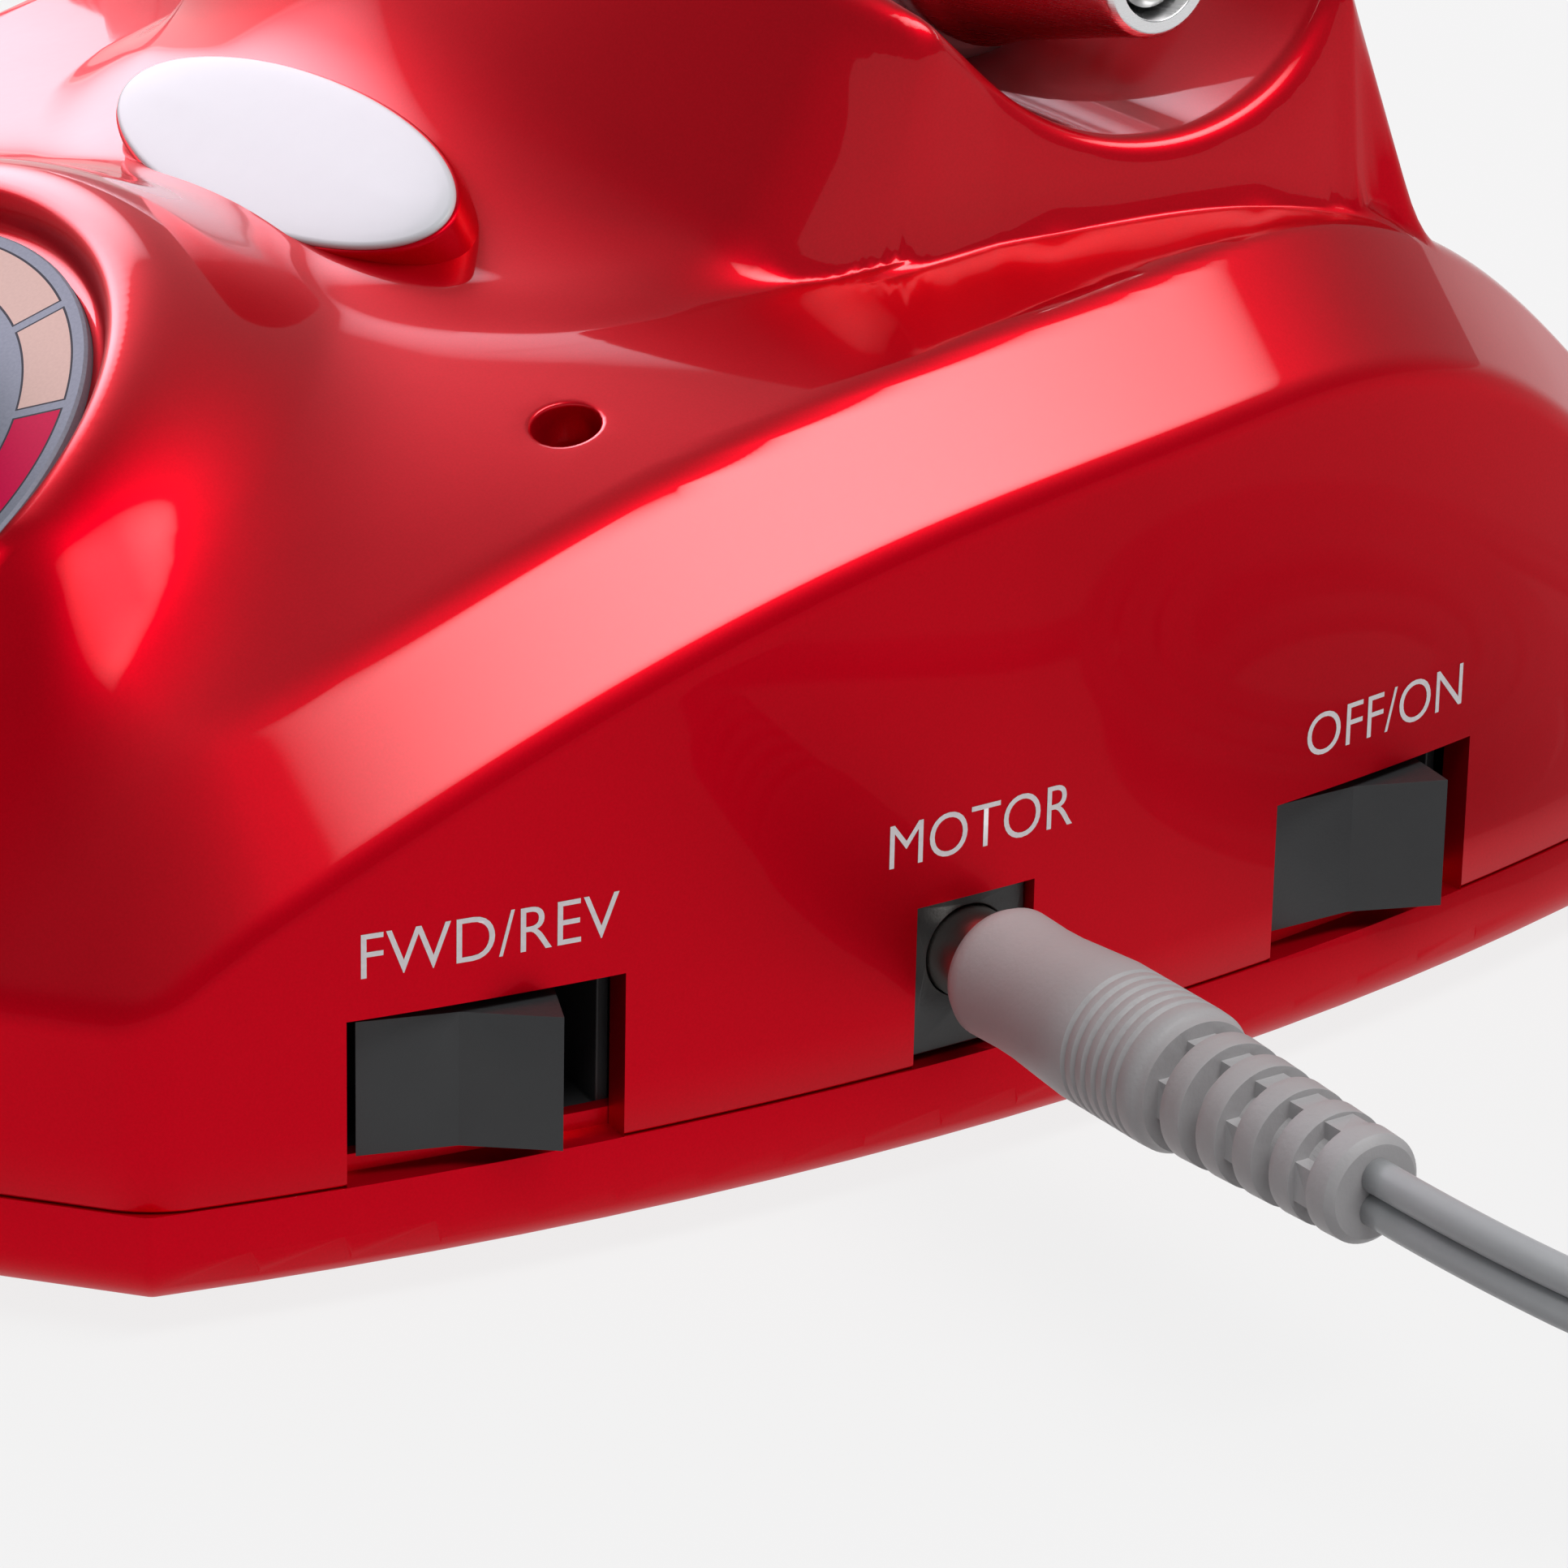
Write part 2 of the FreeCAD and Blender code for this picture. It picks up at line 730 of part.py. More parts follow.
def saddle_ends():
    """The block that trims the saddle: bowed in front, flared in plan, with end faces that lean inwards."""

    def section(height):
        lean = (height - mm.saddle_lean_height) * math.tan(math.radians(mm.saddle_end_lean))
        front = mm.saddle_corner_reach
        back = mm.saddle_back_reach + 2
        wide = [mm.saddle_half_width - lean + mm.saddle_flare * (y - front) for y in (front, back)]
        right = Vector(wide[0], front, height)
        back_right = Vector(wide[1], back, height)
        nose = Vector(0, -mm.saddle_nose_reach, height)
        return Part.Wire([
            Part.Arc(flip(right), nose, right).toShape(),
            Part.LineSegment(right, back_right).toShape(),
            Part.LineSegment(back_right, flip(back_right)).toShape(),
            Part.LineSegment(flip(back_right), flip(right)).toShape(),
        ])

    block = Part.makeLoft([section(mm.saddle_base - 6), section(mm.crest_height + 8)], True, True)
    edges = []
    for edge in block.Edges:
        ends = [vertex.Point for vertex in edge.Vertexes]
        if len(ends) == 2 and abs(ends[0].z - ends[1].z) > 1 and ends[0].y < mm.cradle_reach:
            edges.append(edge)
    return block.makeFillet(mm.saddle_corner_radius, edges)


def saddle():
    """The saddle with its cradle."""
    reach = mm.saddle_half_width + 9
    wide = mm.saddle_half_width
    spots = [-reach, -wide, -wide * 0.67, -wide * 0.33, 0, wide * 0.33, wide * 0.67, wide, reach]
    body = Part.makeLoft([saddle_section(x) for x in spots], True, False)
    return body.common(saddle_ends())


def casing_outside():
    """The upper casing as a full block, before it is hollowed."""
    deck = deck_tunnel(0, 0).fuse(crater_mound())
    half_length = mm.badge_half_length + mm.badge_seat_margin
    half_height = mm.badge_half_width + mm.badge_seat_margin
    deck = deck.fuse(oval(half_length, half_height, -14, -mm.badge_thickness, badge_frame))
    block = column(0, mm.seam_height, 2 * mm.crest_height).common(front_wedge(0)).common(deck)
    return block.fuse(saddle()).common(column(0, mm.seam_height, 2 * mm.crest_height)).removeSplitter()


def casing_inside():
    """The hollow under the deck."""
    wall = mm.casing_wall
    block = column(wall, mm.seam_height - 1, 2 * mm.crest_height).common(front_wedge(wall))
    block = block.common(deck_tunnel(wall, wall))
    under_dial = spun([(0, -mm.moat_depth - mm.dial_floor_thickness), (mm.moat_radius + 2.6, -4.5),
                       (mm.moat_radius + 2.6, 12), (0, 12)], dial_frame)
    return block.cut(under_dial)


def side_box(name, along, length, low, high, outside_, inside_):
    """A block on the right side: centred along it, between two heights, from outside to inside the surface."""
    frame = side_frame(along, 0)
    spot = frame.multVec(Vector(-length / 2, -outside_, low))
    return solid(name, Part.makeBox(length, outside_ + inside_, high - low), Placement(spot, frame.Rotation))


outside = solid("casing_outside", casing_outside())
inside = solid("casing_inside", casing_inside())
hollowed = cut("casing_hollowed", outside, inside)

boss_spots = [
    (mm.front_boss_across, -mm.front_boss_reach),
    (-mm.front_boss_across, -mm.front_boss_reach),
    (mm.rear_boss_across, mm.rear_boss_reach),
    (-mm.rear_boss_across, mm.rear_boss_reach),
]
bosses = [
    Part.makeCylinder(mm.boss_radius, mm.crest_height, Vector(x, y, mm.boss_joint_height)) for x, y in boss_spots
]
lamp_way = Vector(0.12, -0.35, 0.93).normalize()
lamp_frame = Placement(Vector(mm.lamp_across, -mm.lamp_reach, mm.lamp_height), Rotation(Vector(0, 0, 1), lamp_way))
lamp_boss = spun([(0, 1), (mm.lamp_boss_radius, 1), (mm.lamp_boss_radius, -mm.lamp_boss_depth),
                  (0, -mm.lamp_boss_depth)], lamp_frame)
inner_posts = solid("casing_bosses", Part.Compound(bosses + [lamp_boss]))
posts_inside = common("casing_bosses_inside", inner_posts, outside)
bossed = fused("casing_with_bosses", hollowed, posts_inside)

pilot_holes = [
    Part.makeCylinder(mm.screw_radius, 12, Vector(x, y, mm.boss_joint_height - 1)) for x, y in boss_spots
]
lamp_hole = spun([(0, 12), (mm.lamp_hole_radius, 12), (mm.lamp_hole_radius, -mm.lamp_boss_depth - 1),
                  (0, -mm.lamp_boss_depth - 1)], lamp_frame)
pot_hole = spun([(0, 1), (mm.pot_bush_radius + 0.15, 1), (mm.pot_bush_radius + 0.15, -20), (0, -20)], dial_frame)
round_holes = solid("casing_holes", Part.Compound(pilot_holes + [lamp_hole, pot_hole]))
opening_top = mm.seam_height + mm.opening_height
openings = [
    side_box("reverse_opening", mm.reverse_switch_along, mm.switch_opening_length, 0, opening_top, 4, 6),
    side_box("power_opening", mm.power_switch_along, mm.switch_opening_length, 0, opening_top, 4, 6),
    side_box("jack_opening", mm.jack_along, mm.jack_opening_length, 0, opening_top, 4, 6),
]


def rear_frame(across, height):
    """Placement on the rear wall: local Z points out of the wall, local X to the user's left."""
    angle = math.asin(across / mm.rear_radius)
    spot = rear_centre + Vector(math.sin(angle), math.cos(angle), 0) * mm.rear_radius + Vector(0, 0, height)
    turn = Rotation(Vector(0, 0, 1), -math.degrees(angle)).multiply(Rotation(Vector(1, 0, 0), -90))
    return Placement(spot, turn)


inlet_frame = rear_frame(-mm.inlet_across, mm.rear_fitting_height)
fuse_frame = rear_frame(mm.fuse_across, mm.rear_fitting_height)
pedal_frame = rear_frame(mm.pedal_jack_across, mm.rear_fitting_height)
inlet_cut = Part.makeBox(2 * mm.inlet_half_length - 2, mm.inlet_height - 2, 12,
                         Vector(1 - mm.inlet_half_length, 1 - mm.inlet_height / 2, -8))
inlet_cut.Placement = inlet_frame
fuse_cut = spun([(0, -8), (mm.fuse_radius, -8), (mm.fuse_radius, 4), (0, 4)], fuse_frame)
pedal_cut = spun([(0, -8), (mm.pedal_bush_radius, -8), (mm.pedal_bush_radius, 4), (0, 4)], pedal_frame)
rear_openings = solid("rear_openings", Part.Compound([inlet_cut, fuse_cut, pedal_cut]))
badge_pocket = solid("badge_pocket", oval(mm.badge_half_length + mm.badge_seat_margin,
                                          mm.badge_half_width + mm.badge_seat_margin, -mm.badge_thickness, 12,
                                          badge_frame))

upper_casing = node(cut("upper_casing", bossed, solid("dial_hollow", dial_hollow()), round_holes, rear_openings,
                        badge_pocket, *openings))

# lower casing: a shallow tray whose rim carries the upper casing

tray_form = column(0, mm.foot_height, mm.seam_height)
tray_edges = [e for e in tray_form.Edges if max(v.Z for v in e.Vertexes) < mm.foot_height + 1e-6]
tray_form = tray_form.makeFillet(mm.bottom_rounding, tray_edges)
tray_floor = mm.foot_height + mm.floor_thickness
tray_room = column(mm.rim_width, tray_floor, mm.seam_height + 5)
lip = column(mm.casing_wall + mm.rim_clearance, mm.seam_height - 1, mm.seam_height + mm.rim_step)
tray_outside = solid("tray_outside", tray_form.fuse(lip))
tray_inside = solid("tray_inside", tray_room)
tray_posts = [
    rod(f"casing_post_{i}", s.boss_radius, s.boss_joint_height - 0.1 - s.foot_height - 1, x, y, s.foot_height + 1)
    for i, (x, y) in enumerate([
        (s.front_boss_across, -s.front_boss_reach),
        (-s.front_boss_across, -s.front_boss_reach),
        (s.rear_boss_across, s.rear_boss_reach),
        (-s.rear_boss_across, s.rear_boss_reach),
    ], start=1)
]
board_left = -s.board_length / 2 + s.board_hole_inset
board_right = s.board_length / 2 - s.board_hole_inset
board_front = -s.board_reach - s.board_width / 2 + s.board_hole_inset
board_back = -s.board_reach + s.board_width / 2 - s.board_hole_inset
board_holes = [(x, y) for x in (board_left, board_right) for y in (board_front, board_back)]
board_posts = [
    rod(f"board_post_{i}", s.board_post_radius, s.board_height - s.foot_height - 1, x, y, s.foot_height + 1)
    for i, (x, y) in enumerate(board_holes, start=1)
]
screw_spots = [
    (s.front_boss_across, -s.front_boss_reach),
    (-s.front_boss_across, -s.front_boss_reach),
    (s.rear_boss_across, s.rear_boss_reach),
    (-s.rear_boss_across, s.rear_boss_reach),
]
foot_spots = [
    (s.front_foot_across, -s.front_foot_reach),
    (-s.front_foot_across, -s.front_foot_reach),
    (s.rear_foot_across, s.rear_foot_reach),
    (-s.rear_foot_across, s.rear_foot_reach),
]
tray_bores = [
    rod(f"screw_clearance_{i}", s.screw_radius + 0.2, s.boss_joint_height, x, y, 0)
    for i, (x, y) in enumerate(screw_spots, start=1)
]
tray_bores += [
    rod(f"screw_head_room_{i}", s.screw_head_radius + 0.2, s.foot_height + s.screw_head_height + 0.4, x, y, 0)
    for i, (x, y) in enumerate(screw_spots, start=1)
]
tray_bores += [
    rod(f"foot_recess_{i}", s.foot_radius, s.foot_height + s.foot_sink, x, y, 0)
    for i, (x, y) in enumerate(foot_spots, start=1)
]
tray_bores += [
    rod(f"board_screw_hole_{i}", s.screw_radius, s.board_height, x, y, s.board_height - s.board_screw_length + 1)
    for i, (x, y) in enumerate(board_holes, start=1)
]
core_left = -s.core_across - s.core_length / 2
bracket_spots = [core_left - s.bracket_thickness - s.bracket_foot / 2,
                 core_left + s.core_length + s.bracket_thickness + s.bracket_foot / 2]
tray_bores += [rod(f"bracket_screw_hole_{i}", s.screw_radius, 4, x, s.core_reach, s.foot_height + 0.5)
               for i, x in enumerate(bracket_spots, start=1)]
jack_notch = side_box("jack_notch", mm.jack_along, mm.jack_opening_length, mm.seam_height, 2 * mm.seam_height, 1, 9)
tray = cut("tray", tray_outside, tray_inside)
lower_casing = node(cut("lower_casing", fused("tray_with_posts", tray, *tray_posts, *board_posts), jack_notch,
                        *tray_bores))

rubber_feet = node(together("rubber_feet", *[
    turned(f"rubber_foot_{i}", [(0, 0), (s.foot_radius - 1, 0), (s.foot_radius - 0.2, 0.9),
                                (s.foot_radius - 0.1, s.foot_height + s.foot_sink),
                                (0, s.foot_height + s.foot_sink)], x, y)
    for i, (x, y) in enumerate(foot_spots, start=1)
]))


def screw(name, length, x, y, z, turn=None):
    """A pan-head screw with its head at the lower end of its own Z."""
    head = s.screw_head_height
    slot = s.screw_head_radius * 0.35
    return turned(name, [(0, head * 0.5), (slot, head * 0.3), (slot, 0), (s.screw_head_radius * 0.7, 0),
                         (s.screw_head_radius, head * 0.45), (s.screw_head_radius, head), (s.screw_radius, head),
                         (s.screw_radius, length + head - 1), (s.screw_radius * 0.4, length + head),
                         (0, length + head)], x, y, z, turn)


casing_screws = node(together("casing_screws", *[
    screw(f"casing_screw_{i}", s.screw_length, x, y, s.foot_height + 0.4)
    for i, (x, y) in enumerate(screw_spots, start=1)
]))

# speed dial: plate, knob and potentiometer on one leaning axis

dial_turn = dial_frame.Rotation


def on_dial(height):
    """Bound position on the dial's axis, at a height over the plate."""
    lean = math.radians(mm.dial_lean)
    return 0, -s.dial_reach - height * math.sin(lean), s.dial_height + height * math.cos(lean)


dial_plate = node(turned("dial_plate", [
    (s.pot_nut_radius + 1, -s.dial_plate_thickness + 1), (s.dial_plate_radius, 0),
    (s.dial_plate_radius, s.dial_plate_thickness - 0.2), (s.dial_plate_radius - 0.2, s.dial_plate_thickness),
    (s.pot_nut_radius + 1, s.dial_plate_thickness)], *on_dial(-s.dial_plate_thickness), dial_turn))
pot_top = s.moat_depth + s.dial_floor_thickness
potentiometer = node(turned("potentiometer", [
    (s.pot_shaft_radius + s.running_fit, 0), (s.pot_bush_radius, 0), (s.pot_bush_radius, -s.pot_bush_length),
    (s.pot_body_radius - 1, -s.pot_bush_length), (s.pot_body_radius, -s.pot_bush_length - 1),
    (s.pot_body_radius, -s.pot_bush_length - s.pot_body_depth), (0, -s.pot_bush_length - s.pot_body_depth),
    (0, -s.pot_bush_length - 2), (s.pot_shaft_radius + s.running_fit, -s.pot_bush_length - 2),
], *on_dial(s.pot_bush_length - pot_top), dial_turn))
pot_nut = node(turned("pot_nut", [
    (s.pot_bush_radius, 0), (s.pot_nut_radius - 0.4, 0), (s.pot_nut_radius, 0.4),
    (s.pot_nut_radius, s.pot_nut_thickness - 0.4), (s.pot_nut_radius - 0.4, s.pot_nut_thickness),
    (s.pot_bush_radius, s.pot_nut_thickness)], *on_dial(-s.dial_plate_thickness), dial_turn))
shaft_foot = s.pot_bush_length - pot_top - s.pot_bush_length - 2
shaft_head = s.knob_gap + s.pot_shaft_length
pot_shaft = node(turned("pot_shaft", [
    (0, 0), (s.pot_shaft_radius, 0), (s.pot_shaft_radius, shaft_head - shaft_foot - 1),
    (s.pot_shaft_radius - 0.8, shaft_head - shaft_foot), (0, shaft_head - shaft_foot)],
    *on_dial(shaft_foot), dial_turn))
knob_turning = turned("knob_turning", [
    (s.pot_shaft_radius, 3), (s.pot_nut_radius + 1.5, 3), (s.pot_nut_radius + 1.5, 0), (s.knob_radius - 0.6, 0),
    (s.knob_radius, 0.6), (s.knob_radius - 0.6, s.knob_height - 2.2), (s.knob_radius - 1.4, s.knob_height - 0.8),
    (s.knob_radius - 3.2, s.knob_height), (0, s.knob_height - 0.6), (0, s.pot_shaft_length),
    (s.pot_shaft_radius, s.pot_shaft_length)])
flutes = solid("knob_flutes", Part.Compound([
    Part.makeCylinder(mm.knob_flute_radius, mm.knob_height,
                      ray(360 * i / mm.knob_flute_count) * (mm.knob_radius + 0.35) + Vector(0, 0, 2.6))
    for i in range(mm.knob_flute_count)
]))
speed_knob = node(place(cut("speed_knob", knob_turning, flutes), *on_dial(s.knob_gap), dial_turn))

badge_plate = node(solid("badge_plate", oval(mm.badge_half_length, mm.badge_half_width, -mm.badge_thickness, 0,
                                             badge_frame)))
lamp_radius = s.lamp_hole_radius - 0.1
pilot_lamp = node(turned("pilot_lamp", [
    (0, -s.lamp_boss_depth - 3), (lamp_radius + 0.8, -s.lamp_boss_depth - 3),
    (lamp_radius + 0.8, -s.lamp_boss_depth), (lamp_radius, -s.lamp_boss_depth), (lamp_radius, -4),
    (lamp_radius * 0.7, -2.9), (0, -2.5)],
    s.lamp_across, -s.lamp_reach, s.lamp_height, lamp_frame.Rotation))

# rocker switches and cord socket in the right side


def rocker_switch(name, along):
    """The body of a switch behind its opening, and the rocker on its two stub pins."""
    pivot = side_frame(along, mm.rocker_middle_height)
    inward = pivot.Rotation.multVec(Vector(0, 1, 0))
    rocker_half = s.rocker_half_length
    ends = [(-rocker_half, s.rocker_horn), (-rocker_half + 0.5, -s.rocker_root * 0.2), (-2, -s.rocker_root),
            (2, -s.rocker_root), (rocker_half - 0.5, -s.rocker_root * 0.2), (rocker_half, s.rocker_horn),
            (0, s.rocker_valley)]
    face = pressed(f"{name}_rocker_face", ends, s.rocker_height, 0, 0, -s.rocker_height / 2)
    pin = rod(f"{name}_rocker_pins", s.rocker_pin_radius, s.rocker_height + 2 * s.rocker_pin_length, 0, 0,
              -s.rocker_height / 2 - s.rocker_pin_length)
    centre = pivot.Base + inward * mm.rocker_pivot_depth
    rocker = fused(f"{name}_rocker", face, pin)
    turn = pivot.Rotation.multiply(Rotation(Vector(0, 0, 1), 180 - mm.rocker_tilt))
    rocker.Placement = Placement(centre, turn)
    depth = s.switch_depth
    half = s.switch_inside_half_length + s.switch_wall
    tall = s.switch_inside_height + 2 * s.switch_wall
    block = box(f"{name}_block", 2 * half, depth, tall, -half, s.switch_setback, -tall / 2)
    room = box(f"{name}_room", 2 * s.switch_inside_half_length, depth, s.switch_inside_height,
               -s.switch_inside_half_length, s.switch_setback - s.switch_wall, -s.switch_inside_height / 2)
    bore = rod(f"{name}_bearing", s.rocker_pin_radius + s.running_fit, tall + 2, 0, s.rocker_pivot_depth,
               -tall / 2 - 1)
    legs = [box(f"{name}_leg_{i}", 0.8, 5, 4, i * s.switch_inside_half_length * 0.7 - 0.4,
                s.switch_setback + depth - 0.5, -2) for i in (-1, 0, 1)]
    body = cut(f"{name}_switch_body", fused(f"{name}_switch_form", block, *legs), room, bore)
    body.Placement = pivot
    return node(body), node(rocker)


rocker_switch("reverse", mm.reverse_switch_along)
rocker_switch("power", mm.power_switch_along)


jack_side = side_frame(mm.jack_along, mm.jack_bore_height)
jack_frame = Placement(jack_side.Base, jack_side.Rotation.multiply(Rotation(Vector(1, 0, 0), 90)))
jack_low = s.seam_height + 0.5 - s.jack_bore_height
jack_block = box("jack_block", s.jack_width, s.jack_height, s.jack_depth, -s.jack_width / 2, jack_low,
                 -s.jack_setback - s.jack_depth)
jack_bore = turned("jack_bore", [
    (s.jack_pin_radius + 0.8, -s.jack_setback - s.jack_bore_depth), (s.jack_bore_radius,
     -s.jack_setback - s.jack_bore_depth), (s.jack_bore_radius, 1), (s.jack_pin_radius + 0.8, 1)])
jack_core = rod("jack_core", s.jack_pin_radius + 0.9, s.jack_bore_depth + 1, 0, 0, -s.jack_setback - s.jack_bore_depth)
jack_socket = rod("jack_pin_seat", s.jack_pin_radius, 4, 0, 0, -s.jack_setback - s.jack_bore_depth - 3)
motor_jack = node(seat(cut("motor_jack", jack_block, jack_bore, jack_core, jack_socket), jack_frame))
jack_pin = node(seat(turned("jack_pin", [
    (0, -s.jack_setback - s.jack_bore_depth - 3), (s.jack_pin_radius, -s.jack_setback - s.jack_bore_depth - 3),
    (s.jack_pin_radius, -s.jack_setback - 2.5), (s.jack_pin_radius - 0.5, -s.jack_setback - 1.8),
    (0, -s.jack_setback - 1.8)]), jack_frame))

# plug of the handpiece cord, with its strain relief

plug_deep = s.plug_front - s.plug_barrel_length - 3
plug_barrel = node(seat(turned("plug_barrel", [
    (s.plug_bore_radius, plug_deep), (s.plug_barrel_radius - 0.3, plug_deep), (s.plug_barrel_radius, plug_deep + 0.3),
    (s.plug_barrel_radius, -s.jack_setback - 0.6), (s.plug_collar_radius, -s.jack_setback - 0.6),
    (s.plug_collar_radius, s.plug_front + 1), (s.plug_bore_radius, s.plug_front + 1)]), jack_frame))


def plug_outline():
    """Half section of the grey moulding: domed front, waist, belly with fine rings, tapered tail."""
    dome, waist, belly = s.plug_dome_radius, s.plug_waist_radius, s.plug_belly_radius
    front, end = s.plug_front, s.plug_end
    corners = [
        (0, front + 1), (s.plug_collar_radius, front + 1), (s.plug_collar_radius, front),
        (dome - 1.1, front), (dome - 0.35, front + 0.35), (dome, front + 1.1), (waist + 0.05, front + 4),
        (waist + 0.1, front + 6), (belly - 0.2, front + 9), (belly, front + 11.5),
    ]
    for i in range(int(mm.plug_ring_count)):
        start = s.plug_ring_start + i * s.plug_ring_pitch
        corners += [(belly, start), (belly - s.plug_ring_depth, start + 0.25), (belly, start + 0.5)]
    shoulder = s.plug_ring_start + s.plug_ring_count * s.plug_ring_pitch
    corners += [(belly - 0.05, shoulder + 0.4), (belly - 0.45, s.plug_slot_start - 0.4),
                (s.plug_tail_radius, end - 0.5), (s.plug_tail_radius - 0.5, end), (0, end)]
    return corners


plug_body = turned("plug_body", plug_outline())
slot_rings = []
slot_webs = []
for slot in range(int(mm.plug_slot_count)):
    low = s.plug_slot_start + slot * s.plug_slot_pitch
    slot_rings.append(turned(f"plug_slot_{slot + 1}", [
        (s.plug_core_radius, low), (s.plug_belly_radius + 1, low),
        (s.plug_belly_radius + 1, low + s.plug_slot_width), (s.plug_core_radius, low + s.plug_slot_width)]))
    across = 2.6 if slot % 2 == 0 else 0
    if across:
        slot_webs.append(box(f"plug_bridge_{slot + 1}", 2 * s.plug_tail_radius - 0.7, across, s.plug_slot_width,
                             -s.plug_tail_radius + 0.35, -across / 2, low))
spine_start = s.plug_slot_start - 0.2
spine = box("plug_spines", 2.2, 2 * s.plug_tail_radius - 0.3, s.plug_end - spine_start - 0.6, -1.1,
            -s.plug_tail_radius + 0.15, spine_start)
kept = fused("plug_webs", spine, *slot_webs)
slots = cut("plug_slots", fused("plug_slot_rings", *slot_rings), kept)
plug_overmould = node(seat(cut("plug_overmould", plug_body, slots), jack_frame))

# fittings in the rear wall

inlet_box = box("inlet_box", 2 * s.inlet_half_length - 2.4, s.inlet_height - 2.4, s.inlet_depth + s.inlet_flange,
                -s.inlet_half_length + 1.2, -s.inlet_height / 2 + 1.2, -s.inlet_depth)
inlet_rim = box("inlet_rim", 2 * s.inlet_half_length, s.inlet_height, s.inlet_flange, -s.inlet_half_length,
                -s.inlet_height / 2, 0.2)
inlet_wall = s.inlet_cavity_margin
inlet_room = box("inlet_room", 2 * (s.inlet_half_length - 1.2 - inlet_wall),
                 s.inlet_height - 2.4 - 2 * inlet_wall + 1.2, s.inlet_depth + 4,
                 -s.inlet_half_length + 1.2 + inlet_wall, -s.inlet_height / 2 + 0.6 + inlet_wall,
                 -s.inlet_pin_length - 1)
pin_spots = [-s.inlet_pin_spacing / 2, s.inlet_pin_spacing / 2]
pin_seats = [rod(f"inlet_pin_seat_{i}", s.inlet_pin_radius, s.inlet_depth + 2, x, 0, -s.inlet_depth - 1)
             for i, x in enumerate(pin_spots)]
mains_inlet = node(seat(cut("mains_inlet", fused("inlet_form", inlet_box, inlet_rim), inlet_room, *pin_seats),
                        inlet_frame))
inlet_pins = node(seat(together("inlet_pins", *[
    rod(f"inlet_pin_{i}", s.inlet_pin_radius, s.inlet_depth + 3.5, x, 0, -s.inlet_depth - 4)
    for i, x in enumerate(pin_spots)]), inlet_frame))
fuse_holder = node(seat(turned("fuse_holder", [
    (s.fuse_cap_radius, 0.2 + 1.6), (s.fuse_flange_radius, 0.2 + 1.6), (s.fuse_flange_radius, 0.2),
    (s.fuse_radius - 0.1, 0.2), (s.fuse_radius - 0.1, -s.fuse_depth), (0, -s.fuse_depth),
    (0, -s.fuse_depth + 2), (s.fuse_cap_radius, -s.fuse_depth + 2)]), fuse_frame))
fuse_cap = node(seat(turned("fuse_cap", [
    (0, -s.fuse_depth + 3), (s.fuse_cap_radius - 1, -s.fuse_depth + 3), (s.fuse_cap_radius - 1, -2),
    (s.fuse_cap_radius - 0.1, -2), (s.fuse_cap_radius - 0.1, 1.8), (s.fuse_flange_radius - 1, 1.8),
    (s.fuse_flange_radius - 1, s.fuse_cap_length + 1.2), (s.fuse_flange_radius - 1.6, s.fuse_cap_length + 1.8),
    (0, s.fuse_cap_length + 1.8)]), fuse_frame))
pedal_block = box("pedal_block", s.pedal_body, s.pedal_body, s.pedal_bore_depth + 3, -s.pedal_body / 2,
                  -s.pedal_body / 2, -s.casing_wall - s.pedal_seat_gap - s.pedal_bore_depth - 3)
pedal_bush = rod("pedal_bush", s.pedal_bush_radius - 0.1, 3.5 + s.casing_wall + s.pedal_seat_gap + 1, 0, 0,
                 -s.casing_wall - s.pedal_seat_gap - 1)
pedal_bore = rod("pedal_bore", s.pedal_bore_radius, s.pedal_bore_depth + 4, 0, 0, 3.5 - s.pedal_bore_depth)
foot_pedal_jack = node(seat(cut("foot_pedal_jack", fused("pedal_form", pedal_block, pedal_bush), pedal_bore),
                            pedal_frame))
pedal_jack_nut = node(seat(turned("pedal_jack_nut", [
    (s.pedal_bush_radius - 0.1, 0.3), (s.pedal_nut_radius, 0.3), (s.pedal_nut_radius, s.pedal_nut_thickness),
    (s.pedal_nut_radius - 0.5, s.pedal_nut_thickness + 0.3), (s.pedal_bush_radius - 0.1, s.pedal_nut_thickness + 0.3),
]), pedal_frame))

# circuit board with its parts, on posts of the lower casing

board_form = box("board_form", s.board_length, s.board_width, s.board_thickness, -s.board_length / 2,
                 -s.board_reach - s.board_width / 2, s.board_height)
board_bores = [rod(f"board_hole_{i}", s.screw_radius + 0.2, s.board_thickness + 2, x, y, s.board_height - 1)
               for i, (x, y) in enumerate(board_holes, start=1)]
control_board = node(cut("control_board", board_form, *board_bores))
board_top = s.board_height + s.board_thickness
head_down = Rotation(Vector(1, 0, 0), 180)
board_screws = node(together("board_screws", *[
    screw(f"board_screw_{i}", s.board_screw_length - 0.2, x, y, board_top + s.screw_head_height, head_down)
    for i, (x, y) in enumerate(board_holes, start=1)
]))
filter_capacitors = node(together("filter_capacitors", *[
    turned(f"filter_capacitor_{i}", [
        (0, 0), (s.capacitor_radius - 0.3, 0), (s.capacitor_radius, 0.3), (s.capacitor_radius, 1.6),
        (s.capacitor_radius - 0.4, 2), (s.capacitor_radius, 2.4), (s.capacitor_radius, s.capacitor_height - 0.5),
        (s.capacitor_radius - 0.5, s.capacitor_height), (0, s.capacitor_height)], x, -s.board_reach + 4, board_top)
    for i, x in enumerate((-s.capacitor_across, s.capacitor_across), start=1)
]))
sink_back = -s.board_reach + s.board_width / 2 - 5
sink_plate = box("sink_plate", s.sink_length, s.sink_plate, s.sink_height, -s.sink_length / 2,
                 sink_back - s.sink_plate, board_top)
